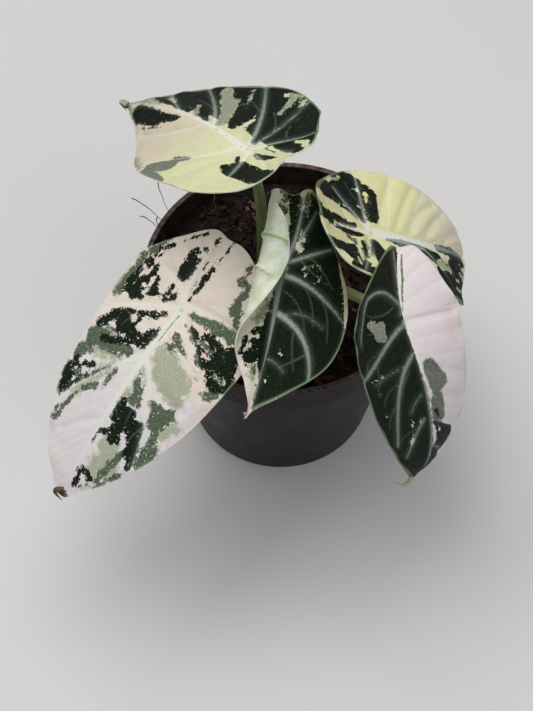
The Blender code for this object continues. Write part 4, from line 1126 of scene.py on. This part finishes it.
def potPlastic():
    # dark plastic, with dust and a painted highlight in pale patches on the bead, and streaked with mix
    # inside the collar
    mat, tree, shader = newMaterial("pot_plastic", 0.5)
    shader.inputs["Specular IOR Level"].default_value = 0.16
    place = addNode(tree, "ShaderNodeTexCoord").outputs["Object"]
    parts = addNode(tree, "ShaderNodeSeparateXYZ", {0: place}).outputs
    radius = maths(tree, "SQRT", maths(tree, "ADD", maths(tree, "MULTIPLY", parts[0], parts[0]),
                                       maths(tree, "MULTIPLY", parts[1], parts[1])))
    cloud = addNode(tree, "ShaderNodeTexNoise", {"Vector": place, "Scale": 60.0, "Detail": 3.0})
    colour = mixColour(tree, ramp(tree, cloud.outputs[0], 0.3, 0.7), (0.0090, 0.0060, 0.0068),
                       (0.0160, 0.0108, 0.0120))
    rubbed = dusting(tree, place, 0.36, 260.0)
    colour = mixColour(tree, maths(tree, "MULTIPLY", rubbed, 0.22), colour, (0.085, 0.064, 0.060))
    onBead = ramp(tree, parts[2], 0.0990, 0.0998)
    # pale patches on top of the rim: dust, with a painted highlight where light catches the rim
    beadDustAndHighlight = maths(tree, "MULTIPLY", dusting(tree, place, 0.50, 330.0), onBead)
    colour = mixColour(tree, maths(tree, "MULTIPLY", beadDustAndHighlight, 0.75), colour, (0.21, 0.165, 0.185))
    red = addNode(tree, "ShaderNodeTexNoise",
                  {"Vector": place, "Scale": 150.0, "Detail": 4.0, "Roughness": 0.7})
    mottle = maths(tree, "MULTIPLY", ramp(tree, red.outputs[0], 0.47, 0.56), onBead)
    colour = mixColour(tree, maths(tree, "MULTIPLY", mottle, 0.8), colour, (0.11, 0.050, 0.036))
    inside = maths(tree, "MULTIPLY", ramp(tree, radius, 0.0579, 0.0576), ramp(tree, parts[2], 0.0865, 0.0875))
    grime = maths(tree, "MULTIPLY", inside, ramp(tree, red.outputs[0], 0.38, 0.62, 0.1, 0.9))
    colour = mixColour(tree, grime, colour, (0.060, 0.030, 0.022))
    tree.links.new(colour, shader.inputs["Base Color"])
    rough = maths(tree, "ADD", ramp(tree, cloud.outputs[0], 0.3, 0.7, 0.40, 0.52),
                  maths(tree, "MULTIPLY", rubbed, 0.2))
    tree.links.new(rough, shader.inputs["Roughness"])
    peel = addNode(tree, "ShaderNodeTexNoise", {"Vector": place, "Scale": 1500.0, "Detail": 2.0})
    bump = addNode(tree, "ShaderNodeBump", {"Height": peel.outputs[0], "Strength": 0.12, "Distance": 0.0002})
    tree.links.new(bump.outputs[0], shader.inputs["Normal"])
    return mat


makePot(potPlastic())
print("pot")


# Bark mix: a lumpy bed, chips scattered over it, and fibres

bedShape = {"level": 0.0878, "radius": 0.0573, "rings": 110, "sides": 300, "lump": 0.0014,
            "waves": ((0.5, 82, 75), (0.3, 53, -97), (0.2, 111, 56)),
            "grains": ((0.0042, 0.0010), (0.0019, 0.0008), (0.0009, 0.0004))}
chipShape = {"count": 3000, "sides": 5, "smallest": 0.0009, "largest": 0.0046, "seed": 11}
fibreShape = {"count": 46, "sides": 4, "steps": 10, "radius": 0.00018, "seed": 5}
fibresOverRim = [
    ((-0.0655, 0.0355, 0.1060), (-0.0570, 0.0320, 0.1050), (-0.0480, 0.0285, 0.0890)),
    ((-0.0545, 0.0440, 0.1065), (-0.0530, 0.0370, 0.1045), (-0.0470, 0.0330, 0.0890)),
    ((-0.0540, 0.0260, 0.1050), (-0.0560, 0.0240, 0.1025), (-0.0480, 0.0200, 0.0890)),
    ((-0.0620, 0.0300, 0.1000), (-0.0585, 0.0290, 0.1030), (-0.0500, 0.0250, 0.0890)),
    ((-0.0295, 0.0455, 0.0945), (-0.0310, 0.0425, 0.0935), (-0.0280, 0.0380, 0.0890)),
    ((-0.0265, 0.0400, 0.0925), (-0.0250, 0.0410, 0.0940), (-0.0225, 0.0385, 0.0890)),
    ((-0.0215, -0.0605, 0.0950), (-0.0190, -0.0600, 0.1010), (-0.0120, -0.0520, 0.0890)),
]


def valueNoise(x, y, cell, seed):
    # random heights on a square lattice, joined by smooth steps
    lattice = np.random.default_rng(seed).random((97, 97))
    i, j = np.floor(x / cell).astype(int), np.floor(y / cell).astype(int)
    u, v = x / cell - i, y / cell - j
    u, v = u * u * (3 - 2 * u), v * v * (3 - 2 * v)
    low = lattice[i % 97, j % 97] * (1 - u) + lattice[(i + 1) % 97, j % 97] * u
    high = lattice[i % 97, (j + 1) % 97] * (1 - u) + lattice[(i + 1) % 97, (j + 1) % 97] * u
    return low * (1 - v) + high * v


def bedHeight(x, y):
    # level, plus long waves, plus three sizes of grain
    height = bedShape["level"] + sum(
        bedShape["lump"] * share * np.sin(inX * x + inY * y) for share, inX, inY in bedShape["waves"])
    for seed, (cell, size) in enumerate(bedShape["grains"]):
        height = height + size * (valueNoise(x, y, cell, seed + 3) - 0.5)
    return height


def barkMaterial():
    # each chip has its own tone, from black-brown to red-brown, and a few are tan, with painted shade in the
    # low spots of the bump
    mat, tree, shader = newMaterial("bark_mix", 0.85)
    shader.inputs["Specular IOR Level"].default_value = 0.25
    place = addNode(tree, "ShaderNodeTexCoord").outputs["Object"]
    tone = attribute(tree, "tone")
    noise = addNode(tree, "ShaderNodeTexNoise",
                    {"Vector": place, "Scale": 900.0, "Detail": 5.0, "Roughness": 0.7})
    colour = mixColour(tree, tone, (0.0085, 0.0050, 0.0045), (0.036, 0.0175, 0.0135))
    colour = mixColour(tree, ramp(tree, tone, 0.86, 0.90), colour, (0.12, 0.046, 0.026))
    colour = mixColour(tree, ramp(tree, tone, 0.965, 0.975), colour, (0.27, 0.165, 0.09))
    # painted shade: darker where the same noise sets the bump low, in the hollows
    shadedHollows = ramp(tree, noise.outputs[0], 0.35, 0.7, 0.65, 0.0)
    colour = mixColour(tree, shadedHollows, colour, (0.010, 0.0065, 0.006))
    dusty = maths(tree, "MULTIPLY", dusting(tree, place, 0.34, 480.0), 0.4)
    colour = mixColour(tree, dusty, colour, (0.10, 0.066, 0.05))
    tree.links.new(colour, shader.inputs["Base Color"])
    bump = addNode(tree, "ShaderNodeBump", {"Height": noise.outputs[0], "Strength": 0.7, "Distance": 0.0006})
    tree.links.new(bump.outputs[0], shader.inputs["Normal"])
    return mat


def makeBed(material):
    # a grainy top, the pot's inner wall less a gap, and a flat bottom
    r = np.linspace(0, bedShape["radius"], bedShape["rings"])
    side = [(0.0573, 0.0874), (0.0548, 0.0860), (0.0407, 0.0024), (0, 0.0024)]
    profile = [(radius, bedShape["level"]) for radius in r] + side
    points = turned(profile, bedShape["sides"])
    top = points[: len(r)]
    top[..., 2] = bedHeight(top[..., 0], top[..., 1])
    top[0] = top[0].mean(0)
    faces = gridFaces(len(profile), bedShape["sides"], True)
    obj = addMesh("barkBed", points.reshape(-1, 3), faces, material)
    setFloat(obj, "tone", np.clip(0.35 * valueNoise(points[..., 0], points[..., 1], 0.0012, 8), 0, 1))
    tidyMesh(obj)
    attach(obj, "root")
    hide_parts("soil")


def makeChips(material):
    # flat five-sided prisms with uneven corners, each turned and tipped at random
    rng = np.random.default_rng(chipShape["seed"])
    count, sides = chipShape["count"], chipShape["sides"]
    turn = np.linspace(0, 2 * math.pi, sides, endpoint=False)
    size = chipShape["smallest"] + (chipShape["largest"] - chipShape["smallest"]) * rng.random(count) ** 3.2
    radii = rng.uniform(0.35, 1.25, (count, 1, sides)) * rng.uniform(0.8, 1.1, (count, 2, sides))
    radii = radii * size[:, None, None] / 2
    local = np.empty((count, 2, sides, 3))
    local[..., 0] = radii * np.cos(turn) * rng.uniform(1.0, 2.6, (count, 1, 1))
    local[..., 1] = radii * np.sin(turn)
    thick = size * rng.uniform(0.25, 0.65, count)
    faceHeight = np.array([0.5, -0.5])[:, None] + rng.uniform(-0.12, 0.12, (count, 2, sides))
    local[..., 2] = thick[:, None, None] * faceHeight
    local = local.reshape(count, 2 * sides, 3)
    spin = rng.uniform(0, 2 * math.pi, count)
    tip = rng.normal(0, 0.42, count)
    way = rng.uniform(0, 2 * math.pi, count)
    x = local[..., 0] * np.cos(spin)[:, None] - local[..., 1] * np.sin(spin)[:, None]
    y = local[..., 0] * np.sin(spin)[:, None] + local[..., 1] * np.cos(spin)[:, None]
    lean = x * np.cos(way)[:, None] + y * np.sin(way)[:, None]
    shift = lean * (np.cos(tip)[:, None] - 1) + local[..., 2] * np.sin(tip)[:, None]
    z = local[..., 2] * np.cos(tip)[:, None] - lean * np.sin(tip)[:, None]
    x = x + shift * np.cos(way)[:, None]
    y = y + shift * np.sin(way)[:, None]
    radius = (bedShape["radius"] - 0.0004 - size * 0.75) * np.sqrt(rng.random(count))
    angle = rng.uniform(0, 2 * math.pi, count)
    atX, atY = radius * np.cos(angle), radius * np.sin(angle)
    clear = np.hypot(atX - crownShape["place"][0], atY - crownShape["place"][1]) > crownShape["radius"] + size
    atZ = bedHeight(atX, atY) + thick * 0.3
    points = np.stack([x + atX[:, None], y + atY[:, None], z + atZ[:, None]], -1)[clear]
    wall = gridFaces(2, sides, True)
    ends = [[0, j, j + 1] for j in range(1, sides - 1)]
    ends += [[sides, sides + j + 1, sides + j] for j in range(1, sides - 1)]
    starts = np.arange(len(points))[:, None, None] * 2 * sides
    quads = (wall[None, :, ::-1] + starts).reshape(-1, 4).tolist()
    corners = (np.array(ends)[None, :, ::-1] + starts).reshape(-1, 3).tolist()
    mesh = bpy.data.meshes.new("barkChips")
    mesh.from_pydata(points.reshape(-1, 3).tolist(), [], quads + corners)
    mesh.materials.append(material)
    obj = bpy.data.objects.new("barkChips", mesh)
    bpy.context.scene.collection.objects.link(obj)
    setFloat(obj, "tone", np.repeat(rng.random(len(points)), 2 * sides))
    bm = bmesh.new()
    bm.from_mesh(mesh)
    bmesh.ops.recalc_face_normals(bm, faces=bm.faces)
    bm.to_mesh(mesh)
    bm.free()
    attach(obj, "root")


def makeFibres():
    # quadratic curves: a few reach past the rim, through the wall under it, the others lie on the bed
    rng = np.random.default_rng(fibreShape["seed"])
    curves = [np.array(points) for points in fibresOverRim]
    for _ in range(fibreShape["count"]):
        radius, angle, turn = 0.050 * math.sqrt(rng.random()), rng.uniform(0, 6.28), rng.uniform(0, 6.28)
        length = rng.uniform(0.004, 0.011)
        middle = np.array([radius * math.cos(angle), radius * math.sin(angle)])
        step = np.array([math.cos(turn), math.sin(turn)]) * length / 2
        aside = rng.normal(0, 0.3 * length, 2)
        flat = np.array([middle - step, middle + aside, middle + step])
        height = bedHeight(flat[:, 0], flat[:, 1]) + [0.0006, rng.uniform(0.001, 0.003), 0.0005]
        curve = np.column_stack([flat, height])
        if np.hypot(flat[:, 0], flat[:, 1]).max() < 0.055:
            curves.append(curve)
    points, faces = [], []
    t = np.linspace(0, 1, fibreShape["steps"])[:, None]
    for i, (a, b, c) in enumerate(curves):
        path = (1 - t) ** 2 * a + 2 * (1 - t) * t * b + t**2 * c
        path = path + 0.00022 * np.sin(t * 17 + i) * [1, -0.7, 0.5]
        more, quads = tubeMesh(path, fibreShape["radius"] * (1.5 - t[:, 0]), fibreShape["sides"])
        faces += [tuple(k + sum(map(len, points)) for k in quad) for quad in quads]
        points.append(more)
    mat, tree, shader = newMaterial("fibre", 0.7)
    shader.inputs["Base Color"].default_value = (0.155, 0.050, 0.030, 1)
    obj = addMesh("fibres", np.concatenate(points), faces, mat)
    tidyMesh(obj)
    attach(obj, "root")


barkSkin = barkMaterial()
makeBed(barkSkin)
makeChips(barkSkin)
makeFibres()
print("bark mix")


# Camera, floor and light

view = {"place": (-0.0066, -0.4030, 0.6985), "pitchDown": 58.85, "lens": 85.0, "sensor": 36.0}
camera = bpy.data.objects.new("camera", bpy.data.cameras.new("camera"))
camera.data.lens = view["lens"]
camera.data.sensor_width = view["sensor"]
camera.location = view["place"]
camera.rotation_euler = (math.radians(90 - view["pitchDown"]), 0, 0)
bpy.context.scene.collection.objects.link(camera)
bpy.context.scene.camera = camera

floorMaterial, floorTree, floorShader = newMaterial("floorPaint", 0.7)
floorShader.inputs["Base Color"].default_value = (0.68, 0.67, 0.66, 1)
floorHalf = 6.0
corners = [(x * floorHalf, y * floorHalf, 0) for x, y in ((-1, -1), (1, -1), (1, 1), (-1, 1))]
floor = addMesh("floor", corners, [(0, 1, 2, 3)], floorMaterial)

lamps = {
    "keyLamp": {"place": (-0.22, 0.16, 1.2), "size": 0.9, "power": 10.8, "colour": (1.0, 0.985, 0.96)},
    "fillLamp": {"place": (0.8, -0.9, 0.9), "size": 1.2, "power": 5.0, "colour": (0.95, 0.97, 1.0)},
}
for lampName, lamp in lamps.items():
    data = bpy.data.lights.new(lampName, "AREA")
    data.size = lamp["size"]
    data.energy = lamp["power"]
    data.color = lamp["colour"]
    obj = bpy.data.objects.new(lampName, data)
    obj.location = lamp["place"]
    aim = np.array([0, -0.02, 0.12]) - np.array(lamp["place"])
    tilt = math.atan2(math.hypot(aim[0], aim[1]), -aim[2])
    obj.rotation_euler = (tilt, 0, math.atan2(aim[1], aim[0]) - math.pi / 2)
    bpy.context.scene.collection.objects.link(obj)

bpy.context.scene.view_settings.view_transform = "Standard"
world = bpy.data.worlds.new("studio")
world.use_nodes = True
world.node_tree.nodes["Background"].inputs["Color"].default_value = (0.9, 0.93, 1.0, 1)
world.node_tree.nodes["Background"].inputs["Strength"].default_value = 0.30
bpy.context.scene.world = world
print("camera, floor and light")
